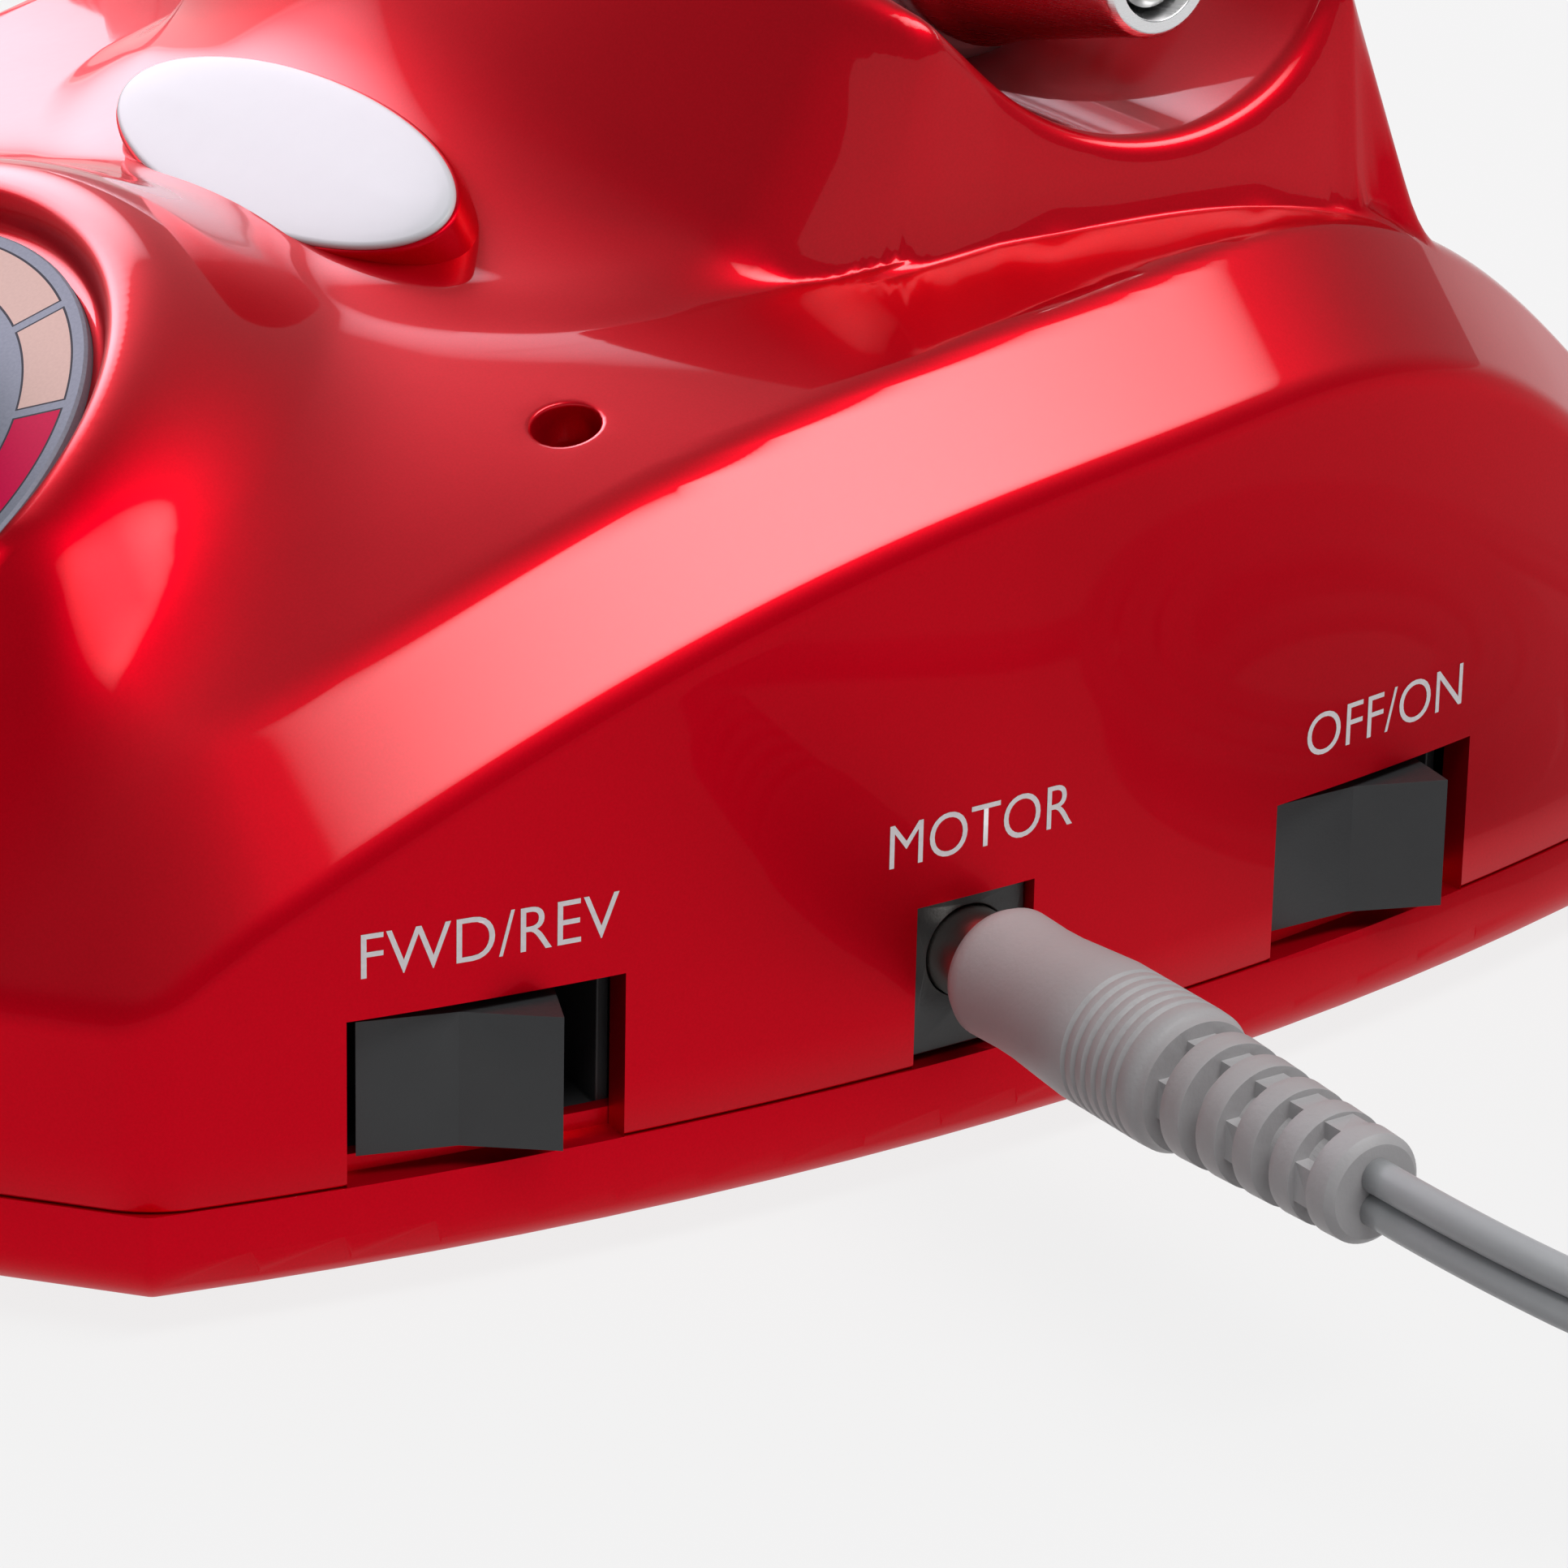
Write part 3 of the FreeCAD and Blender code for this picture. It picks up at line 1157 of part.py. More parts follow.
fin_pitch = (s.sink_length - s.sink_fin_thickness) / (s.sink_fin_count - 1)
sink_fins = [box(f"sink_fin_{i + 1}", s.sink_fin_thickness, s.sink_fin_depth + 0.5, s.sink_height,
                 -s.sink_length / 2 + i * fin_pitch, sink_back - s.sink_plate - s.sink_fin_depth, board_top)
             for i in range(int(mm.sink_fin_count))]
heat_sink = node(fused("heat_sink", sink_plate, *sink_fins))
tab = box("transistor_tab", s.transistor_width, 1.3, s.transistor_height + 6, -s.transistor_width / 2, sink_back,
          board_top)
transistor_block = box("transistor_block", s.transistor_width, s.transistor_thickness, s.transistor_height,
                       -s.transistor_width / 2, sink_back, board_top)
power_transistor = node(fused("power_transistor", tab, transistor_block))

# transformer: laminated core, winding on its middle limb, and the steel bracket that holds it down

core_front = s.core_reach - s.core_thickness / 2
core_foot = s.foot_height + s.floor_thickness
window_length = (s.core_length - 4 * s.core_limb) / 2
core_form = box("core_form", s.core_length, s.core_thickness, s.core_height, core_left, core_front, core_foot)
windows = [box(f"core_window_{i + 1}", window_length, s.core_thickness + 2, s.core_height - 2 * s.core_limb,
               core_left + s.core_limb + i * (window_length + 2 * s.core_limb), core_front - 1,
               core_foot + s.core_limb) for i in range(2)]
transformer_core = node(cut("transformer_core", core_form, *windows))
turns_length = s.core_length - 2 * s.core_limb - 2 * s.winding_gap
turns_height = s.core_height - 2 * s.core_limb - 2 * s.winding_gap
winding_form = box("winding_form", turns_length, s.core_thickness + 2 * s.winding_overhang, turns_height,
                   core_left + s.core_limb + s.winding_gap, core_front - s.winding_overhang,
                   core_foot + s.core_limb + s.winding_gap)
winding_bore = box("winding_bore", 2 * s.core_limb + 2 * s.winding_gap, s.core_thickness + 2 * s.winding_gap,
                   turns_height + 2, core_left + s.core_limb + window_length - s.winding_gap,
                   core_front - s.winding_gap, core_foot + s.core_limb + s.winding_gap - 1)
transformer_winding = node(cut("transformer_winding", rounded("winding_rounded", winding_form, 2.0, lambda e:
                           abs(e.Vertexes[0].X - e.Vertexes[-1].X) + abs(e.Vertexes[0].Y - e.Vertexes[-1].Y) < 1e-6),
                           winding_bore))
bracket_out = s.bracket_thickness
bracket_hoop = box("bracket_hoop", s.core_length + 2 * bracket_out, s.core_thickness - 4,
                   s.core_height + bracket_out, core_left - bracket_out, core_front + 2, core_foot)
bracket_room = box("bracket_room", s.core_length, s.core_thickness, s.core_height + 2, core_left, core_front,
                   core_foot - 2)
bracket_feet = [box(f"bracket_foot_{i}", s.bracket_foot + 0.5, s.core_thickness - 4, bracket_out, x, core_front + 2,
                    core_foot) for i, x in enumerate((core_left - bracket_out - s.bracket_foot,
                                                      core_left + s.core_length + bracket_out - 0.5))]
bracket_holes = [rod(f"bracket_hole_{i}", s.screw_radius + 0.2, 4, x, s.core_reach, core_foot - 1)
                 for i, x in enumerate(bracket_spots)]
hoop = cut("bracket_bent", bracket_hoop, box("bracket_opening", s.core_length, s.core_thickness, s.core_height + 1,
                                             core_left, core_front, core_foot - 1))
transformer_bracket = node(cut("transformer_bracket", fused("bracket_form", hoop, *bracket_feet), *bracket_holes))
bracket_screws = node(together("bracket_screws", *[
    screw(f"bracket_screw_{i}", s.bracket_thickness + 1.4, x, s.core_reach,
          core_foot + s.bracket_thickness + s.screw_head_height, head_down)
    for i, x in enumerate(bracket_spots)]))

# handpiece, made along its own Z from the tail (low) to the nose face (0) and laid in the cradle with its nose to +X

hand_height = mm.cradle_floor + mm.handpiece_rest_gap + mm.handpiece_radius
hand_frame = Placement(Vector(mm.handpiece_nose, mm.cradle_reach, hand_height),
                       Rotation(Vector(0, 1, 0), 90))
seam = s.handpiece_seam
lock_start = -s.nose_length - seam
lock_end = lock_start - s.lock_ring_length
housing_start = lock_end - seam
housing_end = housing_start - s.housing_length
cap_end = housing_end - s.rear_cap_length
relief_end = cap_end - s.relief_length
spindle_room = s.spindle_radius + s.running_fit
bearing_front = lock_start + 2
bearing_seat = s.bearing_outer_radius
nose_cone = node(seat(turned("nose_cone", [
    (spindle_room, -3), (spindle_room + 0.6, 0), (s.nose_tip_radius - 0.4, 0), (s.nose_tip_radius, -0.4),
    (s.nose_tip_radius + 0.6, -3), (s.nose_shoulder_radius - 0.8, -s.nose_length + 4.2),
    (s.nose_shoulder_radius, -s.nose_length + 2.6), (s.nose_shoulder_radius, -s.nose_length),
    (s.bearing_outer_radius + 1.6, -s.nose_length), (s.bearing_outer_radius + 1.6, lock_start - 6),
    (bearing_seat, lock_start - 6), (bearing_seat, bearing_front), (spindle_room, bearing_front)]), hand_frame))
lock_bore = s.bearing_outer_radius + 1.6 + s.running_fit
lock_corners = [(lock_bore, lock_start), (s.handpiece_radius - 1.2, lock_start),
                (s.handpiece_radius, lock_start - 1.2), (s.handpiece_radius, lock_end), (lock_bore, lock_end)]
lock_ring = node(seat(turned("lock_ring", lock_corners), hand_frame))
inner_bore = s.motor_radius + 0.05
spigot_end = housing_start - s.housing_spigot
handpiece_housing = node(seat(turned("handpiece_housing", [
    (lock_bore, housing_start), (s.handpiece_radius, housing_start),
    (s.handpiece_radius, housing_start - 30), (s.handpiece_radius - 0.9, housing_start - 52),
    (s.housing_tail_radius, housing_end), (s.housing_tail_radius - s.housing_wall, housing_end),
    (s.housing_tail_radius - s.housing_wall, housing_end + 6), (inner_bore, housing_end + 8),
    (inner_bore, spigot_end), (lock_bore, spigot_end)]), hand_frame))
motor_front = spigot_end - 0.5
motor_end = motor_front - s.motor_length
handpiece_motor = node(seat(turned("handpiece_motor", [
    (s.bearing_outer_radius, motor_front), (s.motor_radius, motor_front), (s.motor_radius, motor_end),
    (0, motor_end), (0, motor_front - s.bearing_width - 8), (spindle_room, motor_front - s.bearing_width - 8),
    (spindle_room, motor_front - s.bearing_width), (s.bearing_outer_radius, motor_front - s.bearing_width)]),
    hand_frame))


def bearing(name, front):
    """A ball bearing as one grooved ring, from its front face."""
    inner, outer = spindle_room, s.bearing_outer_radius
    back = front - s.bearing_width
    return turned(name, [(inner, back), (outer, back), (outer, front), (outer - 1, front), (outer - 1.1, front - 0.4),
                         (inner + 1.1, front - 0.4), (inner + 1, front), (inner, front)])


spindle_bearings = node(seat(together("spindle_bearings", bearing("front_bearing", bearing_front),
                                      bearing("rear_bearing", motor_front)), hand_frame))
spindle_front = Size(0, "0") - 0.6
spindle_end = motor_front - s.bearing_width - 6
spindle = node(seat(turned("spindle", [
    (s.shank_radius, -s.shank_depth), (s.shank_radius, spindle_front - 0.4),
    (s.shank_radius + 0.4, spindle_front), (s.spindle_radius - 0.5, spindle_front),
    (s.spindle_radius, spindle_front - 0.5), (s.spindle_radius, spindle_end), (0, spindle_end),
    (0, -s.shank_depth)]), hand_frame))
cap_bore = s.relief_radius + 0.6
rear_cap = node(seat(turned("rear_cap", [
    (cap_bore, housing_end + 3), (s.housing_tail_radius - s.housing_wall - 0.05, housing_end + 3),
    (s.housing_tail_radius - s.housing_wall - 0.05, housing_end - seam), (s.housing_tail_radius, housing_end - seam),
    (s.rear_cap_radius + 0.6, cap_end + 2), (s.rear_cap_radius - 0.6, cap_end), (s.relief_radius, cap_end),
    (s.relief_radius, cap_end + 2), (cap_bore, cap_end + 2)]), hand_frame))


def relief_outline():
    """Half section of the ribbed sleeve that leads the cord out of the handpiece."""
    bore = s.cord_diameter / 2
    corners = [(bore, cap_end + 5), (cap_bore - 0.1, cap_end + 5), (cap_bore - 0.1, cap_end + 2.1),
               (s.relief_radius - 0.05, cap_end + 2.1), (s.relief_radius - 0.05, cap_end - 2)]
    count = int(mm.relief_rib_count)
    pitch = (s.relief_length - 3) / count
    for i in range(count):
        low = cap_end - 2 - (i + 1) * pitch
        radius = s.relief_radius - (s.relief_radius - s.relief_tip_radius) * ((i + 1) / count)
        corners += [(radius - 0.55, low + pitch), (radius - 0.55, low + 0.55 * pitch), (radius, low + 0.55 * pitch),
                    (radius, low)]
    return corners + [(bore, relief_end + 1)]


cord_relief = node(seat(turned("cord_relief", relief_outline()), hand_frame))

# handpiece cord: free stretches as straight runs joined by tangent arcs, and the spare length in a coil


def bent_route(points):
    """Edges through the points: at each point the largest arc that its two runs allow."""
    spots = [Vector(*point) for point in points]
    edges = []
    radii = []
    start = spots[0]
    for before, spot, after in zip(spots, spots[1:], spots[2:]):
        came = (spot - before).normalize()
        goes = (after - spot).normalize()
        half_turn = came.getAngle(goes) / 2
        reach = 0.45 * min((spot - before).Length, (after - spot).Length)
        radius = reach / math.tan(half_turn)
        enter = spot - came * reach
        leave = spot + goes * reach
        chord = (enter + leave) / 2
        middle = spot + (chord - spot).normalize() * (radius / math.cos(half_turn) - radius)
        edges.append(Part.LineSegment(start, enter).toShape())
        edges.append(Part.Arc(enter, middle, leave).toShape())
        radii.append(radius)
        start = leave
    edges.append(Part.LineSegment(start, spots[-1]).toShape())
    return edges, radii


def biarc(start, start_way, end, end_way):
    """Two tangent arcs between two points with given directions."""
    chord = end - start
    ways = start_way + end_way
    spread = 2 * (1 - start_way.dot(end_way))
    reach = (math.sqrt(chord.dot(ways) ** 2 + spread * chord.dot(chord)) - chord.dot(ways)) / spread
    first = start + start_way * reach
    second = end - end_way * reach
    joint = (first + second) / 2
    edges = []
    for a, knee, b in ((start, first, joint), (joint, second, end)):
        half_turn = (knee - a).getAngle(b - knee) / 2
        radius = reach / math.tan(half_turn)
        middle = knee + ((a + b) / 2 - knee).normalize() * (radius / math.cos(half_turn) - radius)
        edges.append(Part.Arc(a, middle, b).toShape())
    return edges


def tube(edges, diameter):
    """A round tube along tangent edges, with its volume compared to section times length."""
    path = Part.Wire(edges)
    start = path.Edges[0].Vertexes[0].Point
    way = path.Edges[0].tangentAt(path.Edges[0].FirstParameter)
    ring = Part.Wire([Part.Circle(start, way, diameter / 2).toShape()])
    shape = path.makePipeShell([ring], True, False)
    expected = math.pi * diameter**2 / 4 * path.Length
    print("tube", round(path.Length, 1), "mm, volume against section times length", round(shape.Volume / expected, 4))
    return shape, path


def coil_route(centre, low):
    """Half turns that spiral in, climb one layer in the half turn where they reverse, and spiral out again."""
    across = Vector(1, 0, 0)
    step = mm.coil_pitch / 2
    turns = int(mm.coil_half_turns)
    high = low + mm.cord_diameter + mm.coil_layer_gap
    radii = [mm.coil_radius - step * k for k in range(turns)]
    inner = mm.coil_radius - step * turns
    spot = centre + across * mm.coil_radius + Vector(0, 0, low)
    way = Vector(0, 1, 0)
    edges = [Part.LineSegment(spot - way * mm.cord_diameter, spot).toShape()]
    side = 1
    for radius in radii:
        middle = spot - across * (side * radius)
        edges.append(Part.Arc(spot, middle + way * radius, middle - across * (side * radius)).toShape())
        spot = middle - across * (side * radius)
        side, way = -side, way * -1
    rise = Vector(0, 0, high - low)
    hub = spot - across * (side * inner)
    top = hub + way * inner + rise / 2
    slope = (across * (-side * math.pi * inner / 2) + rise).normalize()
    far = hub - across * (side * inner) + rise
    edges += biarc(spot, way, top, slope)
    edges += biarc(top, slope, far, way * -1)
    spot, side, way = far, -side, way * -1
    for radius in reversed(radii[1:]):
        middle = spot - across * (side * radius)
        edges.append(Part.Arc(spot, middle + way * radius, middle - across * (side * radius)).toShape())
        spot = middle - across * (side * radius)
        side, way = -side, way * -1
    middle = spot - across * (side * mm.coil_radius)
    bend = Vector(math.cos(math.pi / 4), math.sin(math.pi / 4), 0) * mm.coil_radius
    end = middle + way * mm.coil_radius
    edges.append(Part.Arc(spot, middle + bend, end).toShape())
    edges.append(Part.LineSegment(end, end - across * mm.cord_diameter).toShape())
    return edges


def least_gap(path, diameter):
    """Smallest distance between parts of a tube that aren't neighbours along it, measured on points."""
    points = path.discretize(Number=700)
    spacing = path.Length / 699
    skip = int(2.5 * diameter / spacing) + 1
    nearest = min(
        (points[i] - points[j]).Length for i in range(len(points)) for j in range(i + skip, len(points))
    )
    return nearest - diameter


floor_line = mm.cord_diameter / 2
coil_centre = Vector(mm.coil_across, mm.coil_behind, 0)
coil_path_edges = coil_route(coil_centre, floor_line)
coil_shape, coil_path = tube(coil_path_edges, mm.cord_diameter)
print("coil least gap", round(least_gap(coil_path, mm.cord_diameter), 2))
cord_coil = node(solid("cord_coil", coil_shape))
coil_start = coil_path_edges[0].Vertexes[0].Point
coil_end = coil_path_edges[-1].Vertexes[-1].Point

plug_end = jack_frame.multVec(Vector(0, 0, mm.plug_end))
plug_way = jack_frame.Rotation.multVec(Vector(0, 0, 1))
MOTOR_RUN = [
    tuple(plug_end),
    tuple(plug_end + plug_way * 12),
    (125.5, 12.0, 11.5),
    (134.5, 28.0, 5.5),
    (136.0, 47.0, floor_line),
    (coil_start.x, 63.0, floor_line),
    tuple(coil_start),
]
motor_edges, motor_radii = bent_route(MOTOR_RUN)
motor_cord = node(solid("motor_cord", tube(motor_edges, mm.cord_diameter)[0]))
tail = hand_frame.multVec(Vector(0, 0, float(relief_end) - mm.cord_end_gap))
HANDPIECE_RUN = [
    tuple(coil_end),
    (coil_end.x - 14, coil_end.y, coil_end.z),
    (58.0, 111.0, 3.5),
    (32.0, 103.0, floor_line),
    (-2.0, 99.5, floor_line),
    (-38.0, 101.0, floor_line),
    (-74.0, 97.0, floor_line),
    (-106.0, 88.0, floor_line),
    (-131.0, 72.0, floor_line),
    (-146.0, 54.0, 14.0),
    (-147.0, 42.0, 38.0),
    (-137.0, 33.0, 60.0),
    (tail.x - 15, tail.y, tail.z),
    tuple(tail),
]
hand_edges, hand_radii = bent_route(HANDPIECE_RUN)
handpiece_cord = node(solid("handpiece_cord", tube(hand_edges, mm.cord_diameter)[0]))
print("radii of the plug's stretch", [round(r, 1) for r in motor_radii])
print("radii of the handpiece's stretch", [round(r, 1) for r in hand_radii])

doc.recompute()
failed = [obj.Label for obj in doc.Objects if "Invalid" in obj.State or "Error" in obj.State]
if failed:
    raise RuntimeError(f"objects that did not compute: {failed}")
for piece in nodes:
    if piece.Shape.isNull() or not piece.Shape.isValid() or not piece.Shape.Solids:
        raise RuntimeError(f"{piece.Label} has no sound shape")
os.makedirs("parts", exist_ok=True)
for piece in nodes:
    piece.Shape.exportStep(f"parts/{piece.Label}.step")
print(len(nodes), "pieces written")
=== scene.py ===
"""Nail drill machine: a glossy red control box with a dial, two rocker switches and a corded handpiece.

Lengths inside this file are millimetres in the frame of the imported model: +X to the switch side, -Y to the user,
+Z up from the surface that the feet stand on. They become metres when a mesh is made.
"""

import math

import bmesh
import bpy
import numpy as np
from mathutils import Matrix


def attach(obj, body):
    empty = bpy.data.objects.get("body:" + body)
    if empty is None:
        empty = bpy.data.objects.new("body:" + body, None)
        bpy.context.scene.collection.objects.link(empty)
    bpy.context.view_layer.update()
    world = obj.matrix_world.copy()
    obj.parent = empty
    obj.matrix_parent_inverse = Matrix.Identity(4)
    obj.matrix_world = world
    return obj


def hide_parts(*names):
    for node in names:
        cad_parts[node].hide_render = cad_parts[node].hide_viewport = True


bl_info = {
    "name": "Nail drill machine",
    "version": (1, 0, 0),
    "blender": (4, 5, 0),
    "location": "View3D > Sidebar > Nail drill",
    "description": "Builds the finish of a table-top nail drill machine round its packed model",
    "category": "Add Mesh",
}

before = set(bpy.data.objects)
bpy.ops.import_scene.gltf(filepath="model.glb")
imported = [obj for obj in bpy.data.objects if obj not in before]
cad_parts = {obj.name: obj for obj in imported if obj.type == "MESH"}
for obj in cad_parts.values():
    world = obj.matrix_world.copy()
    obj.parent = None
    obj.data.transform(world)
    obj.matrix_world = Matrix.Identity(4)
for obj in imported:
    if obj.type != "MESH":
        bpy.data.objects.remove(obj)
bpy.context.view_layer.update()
MM = 0.001


# plan of the casing and its stations, as in the model

CORNER = np.array([50.0, -51.8])
FACET = math.radians(38.0)
SIDE_R = 235.0
SIDE_C = CORNER - SIDE_R * np.array([math.cos(math.radians(16.4)), -math.sin(math.radians(16.4))])
REAR_R = 250.0
REAR_C = 82.5 - REAR_R
NOSE_R = (-82.5 - (CORNER[1] - CORNER[0] * math.tan(FACET))) / (1 / math.cos(FACET) - 1)
NOSE_C = NOSE_R - 82.5
SEAM = 8.8
WALL = 2.2
BAND = 8.5
BAND_DROP = 8.0
STATION_Y = np.array([-82.5, -72, -60, -48, -36, -24, -12, 0, 12, 24, 36, 48, 60, 72, 82.5])
STATION_SHOULDER = np.array([11.95, 18.3, 25.7, 32.94, 39.62, 45.33, 49.79, 52.93, 54.92, 56.3, 57.05, 54.6, 47.68,
                             37.45, 28.14])
STATION_RISE = np.array([12.25, 12.7, 12.6, 11.3, 8.98, 6.3, 3.92, 2.32, 1.65, 1.6, 1.55, 1.5, 1.5, 1.47, 1.33])
DIAL = np.array([0.0, -51.2, 42.2])
DIAL_LEAN = math.radians(28.7)
BADGE = np.array([0.0, -9.3, 57.2])
BADGE_LEAN = math.radians(31.6)
LAMP = np.array([40.3, -14.0, 49.6])
LAMP_WAY = np.array([0.12, -0.35, 0.93]) / np.linalg.norm([0.12, -0.35, 0.93])
OPENING_TOP = 20.2
SWITCHES = {"reverse": 22.4, "power": 93.2}
SWITCH_LENGTH = 19.0
JACK_ALONG = 58.05
JACK_LENGTH = 9.3
JACK_HEIGHT = 15.9
NOSE_X = 43.6
HAND_Y = 31.0
HAND_Z = 73.8


def cubic(xs, ys, x):
    """Natural cubic spline through (xs, ys): the second derivatives solve a banded system, ends at zero."""
    n = len(xs)
    step = np.diff(xs)
    system = np.eye(n)
    right = np.zeros(n)
    rows = np.arange(1, n - 1)
    system[rows, rows - 1] = step[:-1]
    system[rows, rows] = 2 * (step[:-1] + step[1:])
    system[rows, rows + 1] = step[1:]
    right[1:-1] = 6 * (np.diff(ys)[1:] / step[1:] - np.diff(ys)[:-1] / step[:-1])
    second = np.linalg.solve(system, right)
    i = np.clip(np.searchsorted(xs, x) - 1, 0, n - 2)
    a = (xs[i + 1] - x) / step[i]
    b = 1 - a
    bend = ((a**3 - a) * second[i] + (b**3 - b) * second[i + 1]) * step[i] ** 2 / 6
    return a * ys[i] + b * ys[i + 1] + bend


def lower(a, b, k):
    """The smaller of a and b, with the corner eased over a difference of k: minus (k - |a - b|)^2 / 4k."""
    ease = np.maximum(k - np.abs(a - b), 0)
    return np.minimum(a, b) - ease**2 / (4 * k)


def upper(a, b, k):
    """The larger of a and b with an eased corner."""
    return -lower(-a, -b, k)


def corner_min(a, b, r):
    """Two inward distances joined by a round corner: r minus the length of what each lacks to r."""
    return np.where((a < r) & (b < r), r - np.hypot(np.maximum(r - a, 0), np.maximum(r - b, 0)), np.minimum(a, b))


def side_x(y):
    """Distance of the side from the middle plane."""
    return SIDE_C[0] + np.sqrt(SIDE_R**2 - (y - SIDE_C[1]) ** 2)


def front_distance(x, y):
    """Inward distance from the nose's arc, and from the facet beyond the arc's end."""
    px, py = np.abs(x), y - NOSE_C
    on_arc = np.arctan2(px, -py) < FACET
    return NOSE_R - np.where(on_arc, np.hypot(px, py), px * math.sin(FACET) - py * math.cos(FACET))


def inward(x, y):
    """Inward distance from the casing's outline, with its rounded corners."""
    side = SIDE_R - np.hypot(np.abs(x) - SIDE_C[0], y - SIDE_C[1])
    rear = REAR_R - np.hypot(x, y - REAR_C)
    return corner_min(corner_min(side, rear, 12.0), front_distance(x, y), 1.5)


def deck_height(x, y):
    """The domed top with its side bands: arcs across, bands that fall 8 mm in 8.5 mm.

    Round the dial the dome swells by up to 3.5 mm: a bell of the distance from the dial's axis, widest at 30 mm.
    """
    across = side_x(y) - BAND
    shoulder = cubic(STATION_Y, STATION_SHOULDER, y)
    rise = cubic(STATION_Y, STATION_RISE, y)
    bow = (across**2 + rise**2) / (2 * rise)
    crown = shoulder + rise - bow + np.sqrt(np.maximum(bow**2 - x**2, 0))
    from_dial = np.hypot(x, (y - DIAL[1]) / math.cos(DIAL_LEAN))
    crown = crown + 3.5 * np.exp(-(((from_dial - 30.0) / 9.0) ** 2))
    band = shoulder - (np.abs(x) - across) * BAND_DROP / BAND
    return lower(crown, band, 0.55)


def mound(r):
    """Height of the ring round the dial over the plate: 1.6 less a parabola, with a straight foot past r 34."""
    run = np.maximum(r - 27.6, 0)
    return 1.6 - np.where(run < 6.4, 0.12 * run**2, 4.9152 + 1.536 * (run - 6.4))


def mound_height(x, y):
    """The ring as a height over the plan.

    Straight down from 6 mm over the dial's plane, the first height at which a point's distance from the plane is
    less than the ring's profile at its distance from the axis; found in steps of 0.6 mm and then by halving. Farther
    than 46 mm from the axis there is no ring.
    """
    sin, cos = math.sin(DIAL_LEAN), math.cos(DIAL_LEAN)
    dy = y - DIAL[1]

    def outside(z):
        along, above = dy * cos + (z - DIAL[2]) * sin, (z - DIAL[2]) * cos - dy * sin
        return above > mound(np.hypot(x, along))

    high = DIAL[2] + dy * sin / cos + 6.0
    low = high - 0.6
    for _ in range(48):
        falling = outside(low)
        high, low = np.where(falling, low, high), np.where(falling, low - 0.6, low)
    for _ in range(12):
        middle = (high + low) / 2
        above = outside(middle)
        high, low = np.where(above, middle, high), np.where(above, low, middle)
    return np.where(np.hypot(x, dy / cos) < 46.0, low, 0.0)


def saddle_height(x, y):
    """The saddle's side view: rise, concave sweep, rounded crest, ramp, round cradle, horn and back."""
    share = np.minimum(np.abs(x) / 41.0, 1.0) ** 2
    low, high = math.radians(17.0), math.radians(65.0)
    radius = 26.0 * (1 - 0.85 * share)
    bend = 0.9 + 7.0 * share
    start = 52.4 + 2.0 * share
    first = bend + radius * (math.sin(low) - math.sin(high))
    angle = np.arcsin(np.clip((y - bend) / radius + math.sin(high), -1, 1))
    top = start + radius * (math.cos(low) - math.cos(high))
    rise = np.where(y < first, start + (y - first) * math.tan(low), start + radius * (math.cos(low) - np.cos(angle)))
    rise = np.where(y > bend, top + (y - bend) * math.tan(high), rise)
    cradle_z = 62.5 + 14.5
    ramp = cradle_z - 14.5 * math.cos(math.pi / 4) + (HAND_Y - 14.5 * math.sin(math.pi / 4) - y)
    bowl = cradle_z - np.sqrt(np.maximum(14.5**2 - np.minimum(np.abs(y - HAND_Y), 14.3) ** 2, 0))
    behind = np.where(y < HAND_Y - 14.5 * math.sin(math.pi / 4), ramp, bowl)
    ridge = np.where(y < HAND_Y, lower(rise, behind, 6.0), lower(behind, 72.6, 1.6))
    return lower(ridge, 71.9 - (y - 46.0) * 3.49, 3.0)


def saddle_end(x, y):
    """Inward distance in plan from the saddle's ends at height 56: two flared lines, and a bow in front."""
    flare = math.atan(0.16)
    end = (41.0 + 0.16 * (y - 4.0) - np.abs(x)) * math.cos(flare)
    bow = 44.0 + 0.5 * np.maximum(y - 20.0, 0) - np.hypot(x, np.minimum(y - 20.0, 0))
    return corner_min(end, bow, 9.0)


def saddle_form(x, y):
    """The saddle's top carried over its round lip on to the end walls, which lean in by 6 degrees.

    The lip is a circle of radius R that touches the top and the wall, R 9 mm on the front face and 2.3 mm round the
    cradle. Its drop is measured square to the top's slope, so it is divided by the slope's cosine.
    """
    lean = math.radians(6.0)
    top = saddle_height(x, y)
    slope = (saddle_height(x, y + 0.3) - saddle_height(x, y - 0.3)) / 0.6
    ease = np.clip((16.5 - y) / 6.0, 0, 1)
    radius = 2.3 + 6.7 * ease * ease * (3 - 2 * ease)
    touch = radius * math.tan(math.pi / 4 - lean / 2)
    inside = saddle_end(x, y) - (top - 56.0) * math.tan(lean)
    steep = np.sqrt(1 + slope**2)
    run = np.clip(touch - inside, 0, touch * (1 + math.sin(lean)))
    drop = (radius - np.sqrt(np.maximum(radius**2 - run**2, 0))) * steep
    below = np.maximum(-touch * math.sin(lean) - inside, 0) / math.tan(lean)
    return top - drop - below


